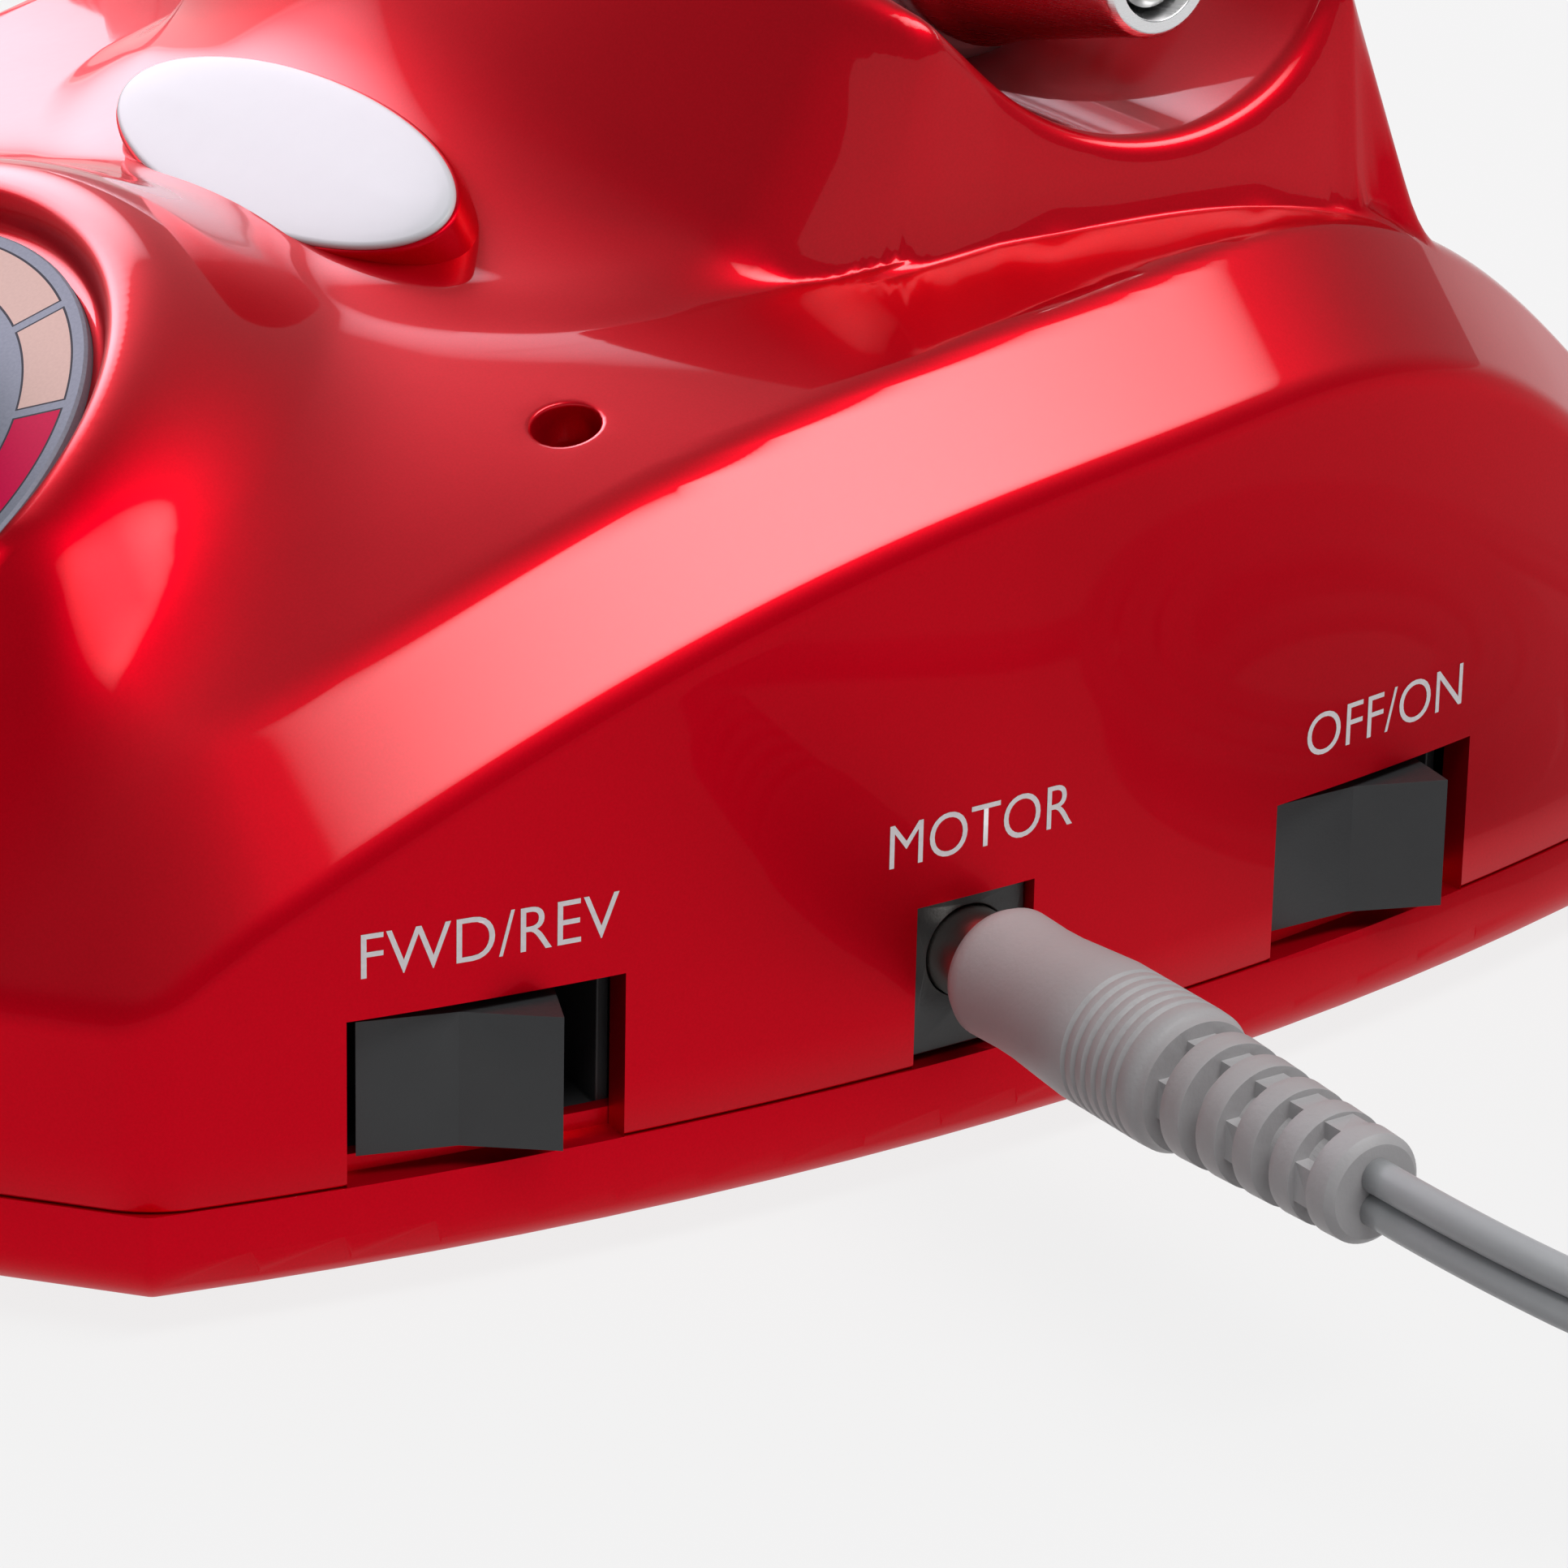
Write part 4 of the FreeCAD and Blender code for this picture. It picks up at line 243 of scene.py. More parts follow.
def casing_height(x, y):
    """The whole outside of the upper casing as one height over the plan; the front band falls along the outline.

    Along the foot of the saddle's ends lies a hollow rounding: a circle that touches the deck and the leaning wall.
    Its radius is 0.08 of what the wall's height has over 6 mm, and 0.8 mm at most.
    """
    base = upper(deck_height(x, y), mound_height(x, y), 3.4)
    base = lower(base, 21.5 + 1.46 * front_distance(x, y), 1.6)
    ease = 0.5 + 3.0 * np.clip((12.0 - y) / 14.0, 0, 1) + 2.5 * np.clip((y - 44.0) / 4.0, 0, 1)
    form = upper(base, saddle_form(x, y), ease)
    lean = math.radians(6.0)
    radius = np.clip(0.08 * (saddle_height(x, y) - base - 6.0), 0.001, 0.8)
    run = saddle_end(x, y) - (base - 56.0) * math.tan(lean) + radius * math.tan(math.pi / 4 - lean / 2)
    run = np.clip(run, 0, radius * math.cos(lean))
    return np.maximum(form, base + radius - np.sqrt(radius**2 - run**2) * (run < radius * 0.99))


# meshes from grids


def to_mesh(name, points, faces, smooth=True):
    """A mesh object from points in millimetres and quads or triangles."""
    mesh = bpy.data.meshes.new(name)
    points = np.asarray(points, float).reshape(-1, 3) * MM
    faces = np.asarray(faces, np.int32)
    mesh.vertices.add(len(points))
    mesh.vertices.foreach_set("co", points.ravel())
    sides = faces.shape[1]
    mesh.loops.add(faces.size)
    mesh.loops.foreach_set("vertex_index", faces.ravel())
    mesh.polygons.add(len(faces))
    mesh.polygons.foreach_set("loop_start", np.arange(len(faces), dtype=np.int32) * sides)
    mesh.update(calc_edges=True)
    mesh.validate()
    mesh.shade_smooth() if smooth else mesh.shade_flat()
    thing = bpy.data.objects.new(name, mesh)
    bpy.context.scene.collection.objects.link(thing)
    return thing


def grid_faces(rows, columns, close_rows=False, close_columns=False, flip=False):
    """Quads of a grid of rows by columns, with either direction closed on itself."""
    i = np.arange(rows if close_rows else rows - 1)
    j = np.arange(columns if close_columns else columns - 1)
    i, j = np.meshgrid(i, j, indexing="ij")
    below, right = (i + 1) % rows, (j + 1) % columns
    quads = np.stack([i * columns + j, i * columns + right, below * columns + right, below * columns + j], -1)
    quads = quads.reshape(-1, 4)
    return quads[:, ::-1] if flip else quads


def grid_object(name, points, **how):
    """An object from an array of shape (rows, columns, 3)."""
    return to_mesh(name, points, grid_faces(points.shape[0], points.shape[1], **how))


def axes_of(way, across=(1.0, 0.0, 0.0)):
    """Three unit columns: one near across, one square to both, and the way."""
    z = np.asarray(way, float) / np.linalg.norm(way)
    x = np.asarray(across, float) - z * np.dot(across, z)
    x /= np.linalg.norm(x)
    return np.stack([x, np.cross(z, x), z], 1)


def rounded_profile(corners, radius, steps=4):
    """A polyline of (radius, height) whose inner corners are rounded: each is replaced by a quadratic curve."""
    corners = np.asarray(corners, float)
    before, at, after = corners[:-2], corners[1:-1], corners[2:]
    in_len = np.linalg.norm(at - before, axis=1, keepdims=True)
    out_len = np.linalg.norm(after - at, axis=1, keepdims=True)
    cut = np.minimum(radius, 0.45 * np.minimum(in_len, out_len))
    first = at + (before - at) / np.maximum(in_len, 1e-9) * cut
    last = at + (after - at) / np.maximum(out_len, 1e-9) * cut
    t = np.linspace(0, 1, steps + 1)[None, :, None]
    curve = first[:, None] * (1 - t) ** 2 + at[:, None] * 2 * t * (1 - t) + last[:, None] * t**2
    return np.concatenate([corners[:1], curve.reshape(-1, 2), corners[-1:]])


def lathe(name, profile, origin, way, around=96, across=(1.0, 0.0, 0.0), shape=None):
    """A surface of revolution: each (radius, height) of the profile turned about the way through the origin.

    shape, where given, changes the radius as a function of (radius, height, angle).
    """
    profile = np.asarray(profile, float)
    angle = np.linspace(0, 2 * math.pi, around, endpoint=False)
    radius = np.repeat(profile[:, :1], around, 1)
    height = np.repeat(profile[:, 1:], around, 1)
    angle = np.repeat(angle[None], len(profile), 0)
    if shape is not None:
        radius = shape(radius, height, angle)
    local = np.stack([radius * np.cos(angle), radius * np.sin(angle), height], -1)
    points = local @ axes_of(way, across).T + np.asarray(origin, float)
    return grid_object(name, points, close_columns=True)


def welded(thing, distance=0.002):
    """Merges the doubles of a grown mesh and makes its faces point outwards."""
    work = bmesh.new()
    work.from_mesh(thing.data)
    bmesh.ops.remove_doubles(work, verts=work.verts, dist=distance * MM)
    bmesh.ops.recalc_face_normals(work, faces=work.faces)
    work.to_mesh(thing.data)
    work.free()
    return thing


def smooth_by_angle(thing, degrees=30.0):
    """Shades an object smooth with sharp edges kept above an angle."""
    mesh = thing.data
    mesh.shade_smooth()
    mesh.set_sharp_from_angle(angle=math.radians(degrees))
    return thing


def eased_copy(node, name, width=0.0, degrees=30.0, segments=2):
    """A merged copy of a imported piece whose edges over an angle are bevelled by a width, to stand in its place."""
    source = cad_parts[node]
    thing = bpy.data.objects.new(name, source.data.copy())
    thing.data.name = name
    bpy.context.scene.collection.objects.link(thing)
    welded(thing, 0.004)
    smooth_by_angle(thing, degrees)
    if width:
        bevel = thing.modifiers.new("edges", "BEVEL")
        bevel.width = width * MM
        bevel.segments = segments
        bevel.limit_method = "ANGLE"
        bevel.angle_limit = math.radians(degrees)
        bevel.harden_normals = True
    return thing


def finish_piece(thing, body, material, replaces=()):
    """Gives a piece its material, its body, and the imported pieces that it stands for."""
    thing.data.materials.clear()
    thing.data.materials.append(material)
    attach(thing, body)
    for node in replaces:
        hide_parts(node)
    return thing


# shader expressions


class Wire:
    """A shader socket that takes part in arithmetic: each operator adds a Math node."""

    def __init__(self, tree, socket):
        self.tree = tree
        self.socket = socket

    def math(self, operation, other=None, third=None, swap=False):
        values = [self, other] if other is not None else [self]
        values = values[::-1] if swap else values
        if third is not None:
            values.append(third)
        return self.tree.add("ShaderNodeMath", {"operation": operation}, dict(enumerate(values)))

    def __add__(self, other):
        return self.math("ADD", other)

    __radd__ = __add__

    def __mul__(self, other):
        return self.math("MULTIPLY", other)

    __rmul__ = __mul__

    def __sub__(self, other):
        return self.math("SUBTRACT", other)

    def __rsub__(self, other):
        return self.math("SUBTRACT", other, swap=True)

    def __truediv__(self, other):
        return self.math("DIVIDE", other)

    def __rtruediv__(self, other):
        return self.math("DIVIDE", other, swap=True)

    def __gt__(self, other):
        return self.math("GREATER_THAN", other)

    def __lt__(self, other):
        return self.math("LESS_THAN", other)


class Tree:
    """A material's node tree with one way to add any node."""

    def __init__(self, name, block=None):
        self.material = block or bpy.data.materials.new(name)
        self.material.use_nodes = True
        self.nodes = self.material.node_tree.nodes
        self.links = self.material.node_tree.links
        self.nodes.clear()

    def add(self, kind, settings=None, sockets=None, output=0):
        """A node of a kind: its settings first, then the value or link of each named or numbered socket."""
        node = self.nodes.new(kind)
        for key, value in (settings or {}).items():
            if key == "stops":
                ramp = node.color_ramp
                while len(ramp.elements) < len(value):
                    ramp.elements.new(1.0)
                for element, (place, colour) in zip(ramp.elements, value):
                    element.position = place
                    element.color = (*colour, 1.0)
            else:
                setattr(node, key, value)
        for key, value in (sockets or {}).items():
            if isinstance(value, Wire):
                self.links.new(value.socket, node.inputs[key])
            else:
                node.inputs[key].default_value = value
        return Wire(self, node.outputs[output]) if node.outputs else None

    def place(self, origin=(0.0, 0.0, 0.0), scale=(1.0, 1.0, 1.0), turn=(0.0, 0.0, 0.0)):
        """Object coordinates in millimetres, moved to an origin, turned and scaled."""
        spot = self.add("ShaderNodeTexCoord", output=3)
        moved = self.add("ShaderNodeVectorMath", {"operation": "MULTIPLY_ADD"},
                         {0: spot, 1: (1000.0,) * 3, 2: tuple(-value for value in origin)})
        return self.add("ShaderNodeMapping", {"vector_type": "TEXTURE"},
                        {"Vector": moved, "Rotation": turn, "Scale": scale})

    def noise(self, where, size, detail=2.0, rough=0.5):
        """Noise from 0 to 1 whose features are about a size in millimetres."""
        return self.add("ShaderNodeTexNoise", None,
                        {"Vector": where, "Scale": 1.0 / size, "Detail": detail, "Roughness": rough})

    def mix(self, factor, first, second):
        """A colour between two."""
        return self.add("ShaderNodeMix", {"data_type": "RGBA"}, {0: factor, 6: first, 7: second}, output=2)

    def bump(self, height, depth, strength=1.0, normal=None):
        """A surface normal from a height of 0 to 1 that stands for a depth in millimetres."""
        sockets = {"Height": height, "Distance": depth * MM, "Strength": strength}
        if normal is not None:
            sockets["Normal"] = normal
        return self.add("ShaderNodeBump", None, sockets)

    def finish(self, **sockets):
        """Ends the tree in a Principled shader with the given sockets; returns the material."""
        names = {key: key.replace("_", " ") for key in sockets}
        fixed = {"IOR": "IOR", "Coat_IOR": "Coat IOR", "Specular_IOR_Level": "Specular IOR Level"}
        names.update({key: fixed[key] for key in sockets if key in fixed})
        shader = self.add("ShaderNodeBsdfPrincipled", None, {names[key]: value for key, value in sockets.items()})
        self.add("ShaderNodeOutputMaterial", None, {"Surface": shader})
        return self.material


def rgb(*values):
    """A colour with full alpha."""
    return (*values, 1.0)


def candy_red(settings):
    """Red metallic paint under clear lacquer: fine flake in the colour and a faint orange peel in the gloss.

    The attribute lacquer says how thick the clear coat is: full on the top, thin on the walls.
    """
    tree = Tree("candy_red")
    where = tree.place()
    flake = tree.noise(where, 0.16, 1.0)
    cloud = tree.noise(where, 22.0, 2.0)
    red = tree.mix(flake * 0.5 + cloud * 0.3, rgb(*settings.red_deep), rgb(*settings.red_light))
    peel = tree.noise(where, 1.3, 2.0, 0.45) + tree.noise(where, 0.5, 1.0) * 0.18
    grime = tree.noise(where, 9.0, 3.0)
    lacquer = tree.add("ShaderNodeAttribute", {"attribute_name": "lacquer"}, output=2)
    return tree.finish(Base_Color=red, Metallic=settings.red_metal, Roughness=0.4 + grime * 0.08,
                       Specular_IOR_Level=0.0, Coat_Weight=lacquer * 0.92 + 0.08, Coat_Roughness=0.04, Coat_IOR=1.45,
                       Normal=tree.bump(peel, settings.peel_depth))


def moulded(name, dark, light, roughness, grain=0.12, depth=0.012, coat=0.0):
    """Moulded plastic: two near colours in slow patches, a fine grain in gloss and surface."""
    tree = Tree(name)
    where = tree.place()
    patch = tree.noise(where, 7.0, 3.0)
    pores = tree.noise(where, grain, 2.0)
    colour = tree.mix(patch * 0.7 + pores * 0.3, rgb(*dark), rgb(*light))
    return tree.finish(Base_Color=colour, Roughness=roughness + pores * 0.14 - patch * 0.05, Coat_Weight=coat,
                       Coat_Roughness=0.06, Normal=tree.bump(pores, depth))


def turned_metal(name, colour, origin, way, roughness=0.24, groove=0.12):
    """Metal turned on a lathe: fine rings about an axis in tint, gloss and surface."""
    tree = Tree(name)
    turn = Matrix(axes_of(way).tolist()).to_euler()
    where = tree.place(origin=origin, turn=tuple(turn))
    along = tree.add("ShaderNodeSeparateXYZ", None, {0: where}, output=2)
    rings = tree.add("ShaderNodeTexNoise", {"noise_dimensions": "1D"},
                     {"W": along, "Scale": 1.0 / groove, "Detail": 3.0})
    shade = tuple(0.86 * value for value in colour)
    return tree.finish(Base_Color=tree.mix(rings, rgb(*shade), rgb(*colour)), Metallic=1.0,
                       Roughness=roughness + rings * 0.12, Normal=tree.bump(rings, 0.004))


def plain_metal(name, colour, roughness=0.3):
    """Plated or rolled metal: small spots in tint and gloss."""
    tree = Tree(name)
    where = tree.place()
    spots = tree.noise(where, 1.2, 4.0)
    shade = tuple(0.85 * value for value in colour)
    return tree.finish(Base_Color=tree.mix(spots, rgb(*shade), rgb(*colour)), Metallic=1.0,
                       Roughness=roughness + spots * 0.12, Normal=tree.bump(spots, 0.003))


def dial_face(settings):
    """The dial's plate: satin blue-grey metal with a ring of coloured sectors between silver lines.

    Radius and angle are read in the plate's own leaning frame. Sectors of 27.2 degrees lie between radii 20.2 and
    23.7 mm with gaps of 0.9 mm, one of them at 41.6 degrees; those clockwise of it are crimson. Each has a dark
    outline 0.16 mm wide, where the distance to its border is under 0.08 mm.
    """
    tree = Tree("dial_face")
    where = tree.place(origin=tuple(DIAL), turn=(DIAL_LEAN, 0.0, 0.0))
    x, y = (tree.add("ShaderNodeSeparateXYZ", None, {0: where}, output=place) for place in (0, 1))
    radius = (x * x + y * y).math("SQRT")
    angle = y.math("ARCTAN2", x) * (180.0 / math.pi)
    cell = ((angle - 41.6 + 27 * 27.2) / 27.2).math("FRACT")
    from_gap = cell.math("MINIMUM", 1.0 - cell) * math.radians(27.2) * radius - 0.45
    border = from_gap.math("MINIMUM", (radius - 20.2).math("MINIMUM", 23.7 - radius))
    inside = border > 0.08
    ink = border.math("ABSOLUTE") < 0.08
    grain = tree.noise(where, 0.25, 3.0)
    silver = tree.mix(grain, rgb(0.20, 0.22, 0.27), rgb(0.30, 0.33, 0.39))
    beige = tree.mix(grain, rgb(0.64, 0.43, 0.38), rgb(0.74, 0.52, 0.46))
    crimson = tree.mix(grain, rgb(0.56, 0.002, 0.06), rgb(0.68, 0.006, 0.08))
    colour = tree.mix(inside, silver, tree.mix((angle < 41.6) * (angle > -95.0), beige, crimson))
    colour = tree.mix(ink, colour, rgb(0.045, 0.045, 0.06))
    return tree.finish(Base_Color=colour, Metallic=(1.0 - inside) * (1.0 - ink) * 0.3, Roughness=0.55 + grain * 0.12,
                       Specular_IOR_Level=0.08, Normal=tree.bump(grain, 0.004))


def white_lacquer():
    """The badge's plate: white with a thick clear dome."""
    tree = Tree("white_lacquer")
    where = tree.place()
    cloud = tree.noise(where, 6.0, 3.0)
    return tree.finish(Base_Color=tree.mix(cloud, rgb(0.52, 0.55, 0.57), rgb(0.58, 0.61, 0.63)),
                       Roughness=0.45 + cloud * 0.08, Coat_Weight=0.6, Coat_Roughness=0.03, Coat_IOR=1.25,
                       Normal=tree.bump(tree.noise(where, 3.0), 0.006))


def lamp_red():
    """The pilot lamp's lens: clear red plastic, unlit."""
    tree = Tree("lamp_red")
    where = tree.place()
    cloud = tree.noise(where, 1.0, 3.0)
    return tree.finish(Base_Color=tree.mix(cloud, rgb(0.35, 0.0, 0.012), rgb(0.6, 0.01, 0.03)),
                       Roughness=0.12 + cloud * 0.1, Coat_Weight=1.0, Coat_Roughness=0.03,
                       Normal=tree.bump(cloud, 0.02))


def print_white():
    """Screen-printed white ink, slightly thin in places."""
    tree = Tree("print_white")
    where = tree.place()
    thin = tree.noise(where, 0.35, 3.0)
    return tree.finish(Base_Color=tree.mix(thin, rgb(0.78, 0.72, 0.74), rgb(0.95, 0.93, 0.94)),
                       Roughness=0.45 + thin * 0.15, Normal=tree.bump(thin, 0.01))


def circuit_green():
    """Lacquered circuit board: green with paler tracks in bands."""
    tree = Tree("circuit_green")
    where = tree.place()
    tracks = tree.add("ShaderNodeTexVoronoi", {"distance": "CHEBYCHEV"}, {"Vector": where, "Scale": 0.35})
    return tree.finish(Base_Color=tree.mix((tracks * 3.0).math("FRACT"), rgb(0.01, 0.10, 0.03), rgb(0.03, 0.22, 0.08)),
                       Roughness=0.3 + tracks * 0.1, Coat_Weight=0.5, Normal=tree.bump(tracks, 0.03))


def laminations():
    """Stacked steel sheets: dark lines half a millimetre apart."""
    tree = Tree("laminations")
    where = tree.place()
    y = tree.add("ShaderNodeSeparateXYZ", None, {0: where}, output=1)
    sheets = (y * 2.0).math("PINGPONG", 0.5)
    return tree.finish(Base_Color=tree.mix(sheets * 2.0, rgb(0.10, 0.09, 0.09), rgb(0.36, 0.35, 0.34)), Metallic=0.8,
                       Roughness=0.5 - sheets * 0.2, Normal=tree.bump(sheets, 0.1))


def winding_tape():
    """Amber tape over a winding, with its overlapping turns."""
    tree = Tree("winding_tape")
    where = tree.place()
    x = tree.add("ShaderNodeSeparateXYZ", None, {0: where}, output=0)
    laps = (x * 0.25).math("FRACT")
    return tree.finish(Base_Color=tree.mix(laps, rgb(0.55, 0.36, 0.06), rgb(0.72, 0.52, 0.12)),
                       Roughness=0.35 + laps * 0.15, Normal=tree.bump(laps, 0.06))


# settings a user would change


class NailDrillFinish(bpy.types.PropertyGroup):
    """Colours and finish of the nail drill machine."""

    red_deep: bpy.props.FloatVectorProperty(
        name="Deep red", description="Darker colour of the paint", subtype="COLOR", default=(0.48, 0.0, 0.006))
    red_light: bpy.props.FloatVectorProperty(
        name="Light red", description="Lighter colour of the paint's flake", subtype="COLOR",
        default=(0.72, 0.0, 0.014))
    red_metal: bpy.props.FloatProperty(
        name="Metallic", description="How metallic the red paint is", subtype="FACTOR", default=0.8, min=0, max=1)
    peel_depth: bpy.props.FloatProperty(
        name="Orange peel", description="Depth of the lacquer's waviness in millimetres", default=0.006, min=0)
    floor_grey: bpy.props.FloatProperty(
        name="Floor", description="Grey of the floor and the backdrop", subtype="FACTOR", default=0.98, min=0, max=1)


class NailDrillCord(bpy.types.PropertyGroup):
    """Sizes of the handpiece's twin lead."""

    wire: bpy.props.FloatProperty(
        name="Wire", description="Diameter of each of the two wires", subtype="DISTANCE", default=0.0023)
    length: bpy.props.FloatProperty(
        name="Length", description="Real length of the lead", subtype="DISTANCE", default=1.38)


def floor_white(seen):
    """White floor and backdrop: camera, glossy and transmission rays see mostly an even white, over a lit grey.

    The lit part keeps the object's shadow, and diffuse rays see only that part.
    """
    tree = Tree("floor_white")
    dust = tree.noise(tree.place(), 40.0, 2.0)
    lit = tree.add("ShaderNodeBsdfDiffuse", None,
                   {"Color": tree.mix(dust, rgb(0.42, 0.42, 0.42), rgb(0.45, 0.45, 0.45))})
    even = tree.add("ShaderNodeEmission", None, {"Color": rgb(seen, seen, seen), "Strength": 1.0})
    camera, glossy, through = (tree.add("ShaderNodeLightPath", output=place) for place in (0, 3, 6))
    share = (camera + glossy + through).math("MINIMUM", 1.0) * 0.85
    tree.add("ShaderNodeOutputMaterial", None, {"Surface": tree.add("ShaderNodeMixShader", None,
                                                                    {0: share, 1: lit, 2: even})})
    return tree.material


def softbox(name, way, distance, size, radiance, tint=(1.0, 1.0, 1.0), across=(0.0, 1.0, 0.0)):
    """An area lamp that faces the object from a direction; its light fades towards its edges.

    size is its width and height in millimetres; its power is radiance times pi times its area.
    """
    light = bpy.data.lights.new(name, "AREA")
    light.shape = "RECTANGLE"
    light.size, light.size_y = size[0] * MM, size[1] * MM
    light.energy = radiance * math.pi * light.size * light.size_y
    light.color = tint
    tree = Tree(name, light)
    spot = tree.add("ShaderNodeNewGeometry", output=5)
    u, v = (tree.add("ShaderNodeSeparateXYZ", None, {0: spot}, output=place) for place in (0, 1))
    fade = (u * (1.0 - u) * v * (1.0 - v) * 16.0).math("POWER", 0.6) * 1.6
    tree.add("ShaderNodeOutputLight", None, {0: tree.add("ShaderNodeEmission", None, {"Strength": fade})})
    thing = bpy.data.objects.new(name, light)
    bpy.context.scene.collection.objects.link(thing)
    way = np.asarray(way, float) / np.linalg.norm(way)
    spot = (np.array([0.0, 0.0, 40.0]) + way * distance) * MM
    thing.matrix_world = Matrix(np.block([[axes_of(way, across), spot[:, None]],
                                          [np.zeros((1, 3)), np.ones((1, 1))]]).tolist())
    return thing


def toward(azimuth, elevation):
    """Unit direction at an azimuth from +X towards +Y and an elevation, in degrees."""
    a, e = math.radians(azimuth), math.radians(elevation)
    return np.array([math.cos(e) * math.cos(a), math.cos(e) * math.sin(a), math.sin(e)])


class NAILDRILL_OT_stage(bpy.types.Operator):
    """Floor, backdrop, lamps and the camera at the photograph's angle."""

    bl_idname = "nail_drill.stage"
    bl_label = "Stage"

    def execute(self, context):
        material = floor_white(context.scene.nail_drill_finish.floor_grey)
        turn = np.linspace(0, 2 * math.pi, 96, endpoint=False)
        sweep = np.linspace(0, math.pi / 2, 9)
        radius = np.concatenate([[0.0, 900.0, 1800.0], 2300 + 300 * np.sin(sweep), [2600.0]])
        height = np.concatenate([[0.0, 0.0, 0.0], 300 - 300 * np.cos(sweep), [620.0]])
        points = np.stack([radius[:, None] * np.cos(turn), radius[:, None] * np.sin(turn),
                           height[:, None] + 0 * turn], -1)
        floor = welded(grid_object("floor", points, close_columns=True, flip=True))
        floor.data.materials.append(material)

        world = bpy.data.worlds.new("studio")
        context.scene.world = world
        world.use_nodes = True
        sky = world.node_tree.nodes["Background"]
        sky.inputs["Color"].default_value = rgb(0.92, 0.93, 0.96)
        sky.inputs["Strength"].default_value = 0.27

        softbox("left_bank", toward(-179.0, 30.0), 900.0, (1000.0, 560.0), 4.2, (1.0, 0.88, 1.0))
        softbox("band_bank", toward(12.0, 62.0), 900.0, (1150.0, 330.0), 6.0, (1.0, 0.98, 0.98))

        azimuth, elevation, roll = math.radians(53.0), math.radians(22.64), math.radians(1.19)
        right = np.array([math.cos(azimuth), math.sin(azimuth), 0.0])
        way = np.array([-math.sin(azimuth) * math.cos(elevation), math.cos(azimuth) * math.cos(elevation),
                        -math.sin(elevation)])
        up = np.cross(right, way)
        right, up = (math.cos(roll) * right + math.sin(roll) * up, math.cos(roll) * up - math.sin(roll) * right)
        camera = bpy.data.cameras.new("camera")
        camera.sensor_width = 36.0
        camera.lens = 171.39
        camera.clip_start = 0.01
        camera.clip_end = 20.0
        thing = bpy.data.objects.new("camera", camera)
        context.scene.collection.objects.link(thing)
        thing.matrix_world = Matrix(np.block([
            [np.stack([right, up, -way], 1), np.array([[404.9], [-270.8], [212.0]]) * MM],
            [np.zeros((1, 3)), np.ones((1, 1))]]).tolist())
        context.scene.camera = thing
        context.scene.view_settings.view_transform = "Standard"
        return {"FINISHED"}


def edge_reach(y):
    """Half width of the outline along the deck grid's row at y, and its bow towards the rear wall.

    Each row is bent by the rear arc's fall times a weight that grows from 0 at y 56 to 1 at the rear wall; the reach
    is found by halving on the inward distance.
    """
    weight = np.clip((y - 56.0) / 26.5, 0, 1) ** 2
    near, far = np.zeros_like(y), np.full_like(y, 62.0)
    for _ in range(44):
        middle = (near + far) / 2
        inside = inward(middle, y - weight * (REAR_R - np.sqrt(REAR_R**2 - middle**2))) > 0
        near, far = np.where(inside, middle, near), np.where(inside, far, middle)
    return near, weight


def deck_grid(rows=346):
    """Points of the casing's top: rows across the casing, columns crowded at the saddle's ends and the outline.

    The column at the foot of the saddle's end wall is found by halving, so that no column crosses the crease.
    """
    y = -82.5 + 165.0 * np.linspace(0, 1, rows)
    cuts = side_point(opening_edges())[1]
    y[np.abs(y[:, None] - cuts).argmin(0)] = cuts
    y[0] += 0.02
    y[-1] -= 0.001
    reach, weight = edge_reach(y)
    near, far = np.zeros_like(y), np.full_like(y, 62.0)
    for _ in range(30):
        middle = (near + far) / 2
        inside = saddle_end(middle, y) + (56.0 - deck_height(middle, y)) * math.tan(math.radians(6.0)) > 0
        near, far = np.where(inside, middle, near), np.where(inside, far, middle)
    wall = np.minimum(np.maximum(near, 30.0), 0.9 * reach)
    rim = np.minimum(1.6, 0.04 * reach)
    centre = np.linspace(0, 1, 50)[:-1]
    close = np.linspace(0, 1, 27)[:-1]
    outer = np.linspace(0, 1, 20)[:-1]
    lip = np.sin(np.linspace(0, math.pi / 2, 9))
    inner_end = wall - 3.6 * np.minimum(reach / 50.0, 1.0)
    outer_start = np.minimum(wall + 2.6 * np.minimum(reach / 50.0, 1.0), reach - rim - 0.1 * reach / 50.0)
    half = np.concatenate([
        centre[None] * inner_end[:, None],
        inner_end[:, None] + close[None] * (outer_start - inner_end)[:, None],
        outer_start[:, None] + outer[None] * (reach - rim - outer_start)[:, None],
        (reach - rim)[:, None] + lip[None] * rim[:, None],
    ], 1)
    x = np.concatenate([-half[:, :0:-1], half], 1)
    y = y[:, None] - weight[:, None] * (REAR_R - np.sqrt(REAR_R**2 - x**2))
    return x, y


EDGE = 1.1


def rounded_edge(x, y):
    """Height lost within 1.1 mm of the outline, where the top turns into the wall along a quarter circle."""
    lack = np.clip(EDGE - np.maximum(inward(x, y), 0), 0, EDGE)
    return EDGE - np.sqrt(np.maximum(EDGE**2 - lack**2, 0))


def along_side(points):
    """Length along the right side from the front corner, for points on its arc."""
    heading = np.degrees(np.arctan2(SIDE_C[1] - points[..., 1], points[..., 0] - SIDE_C[0]))
    return math.radians(1) * (16.4 - heading) * SIDE_R


def side_point(along, inside=0.0):
    """A point of the right side at a length along it, moved inwards."""
    heading = math.radians(16.4) - np.asarray(along, float) / SIDE_R
    reach = SIDE_R - np.asarray(inside, float)
    return SIDE_C[0] + np.cos(heading) * reach, SIDE_C[1] - np.sin(heading) * reach




# pieces


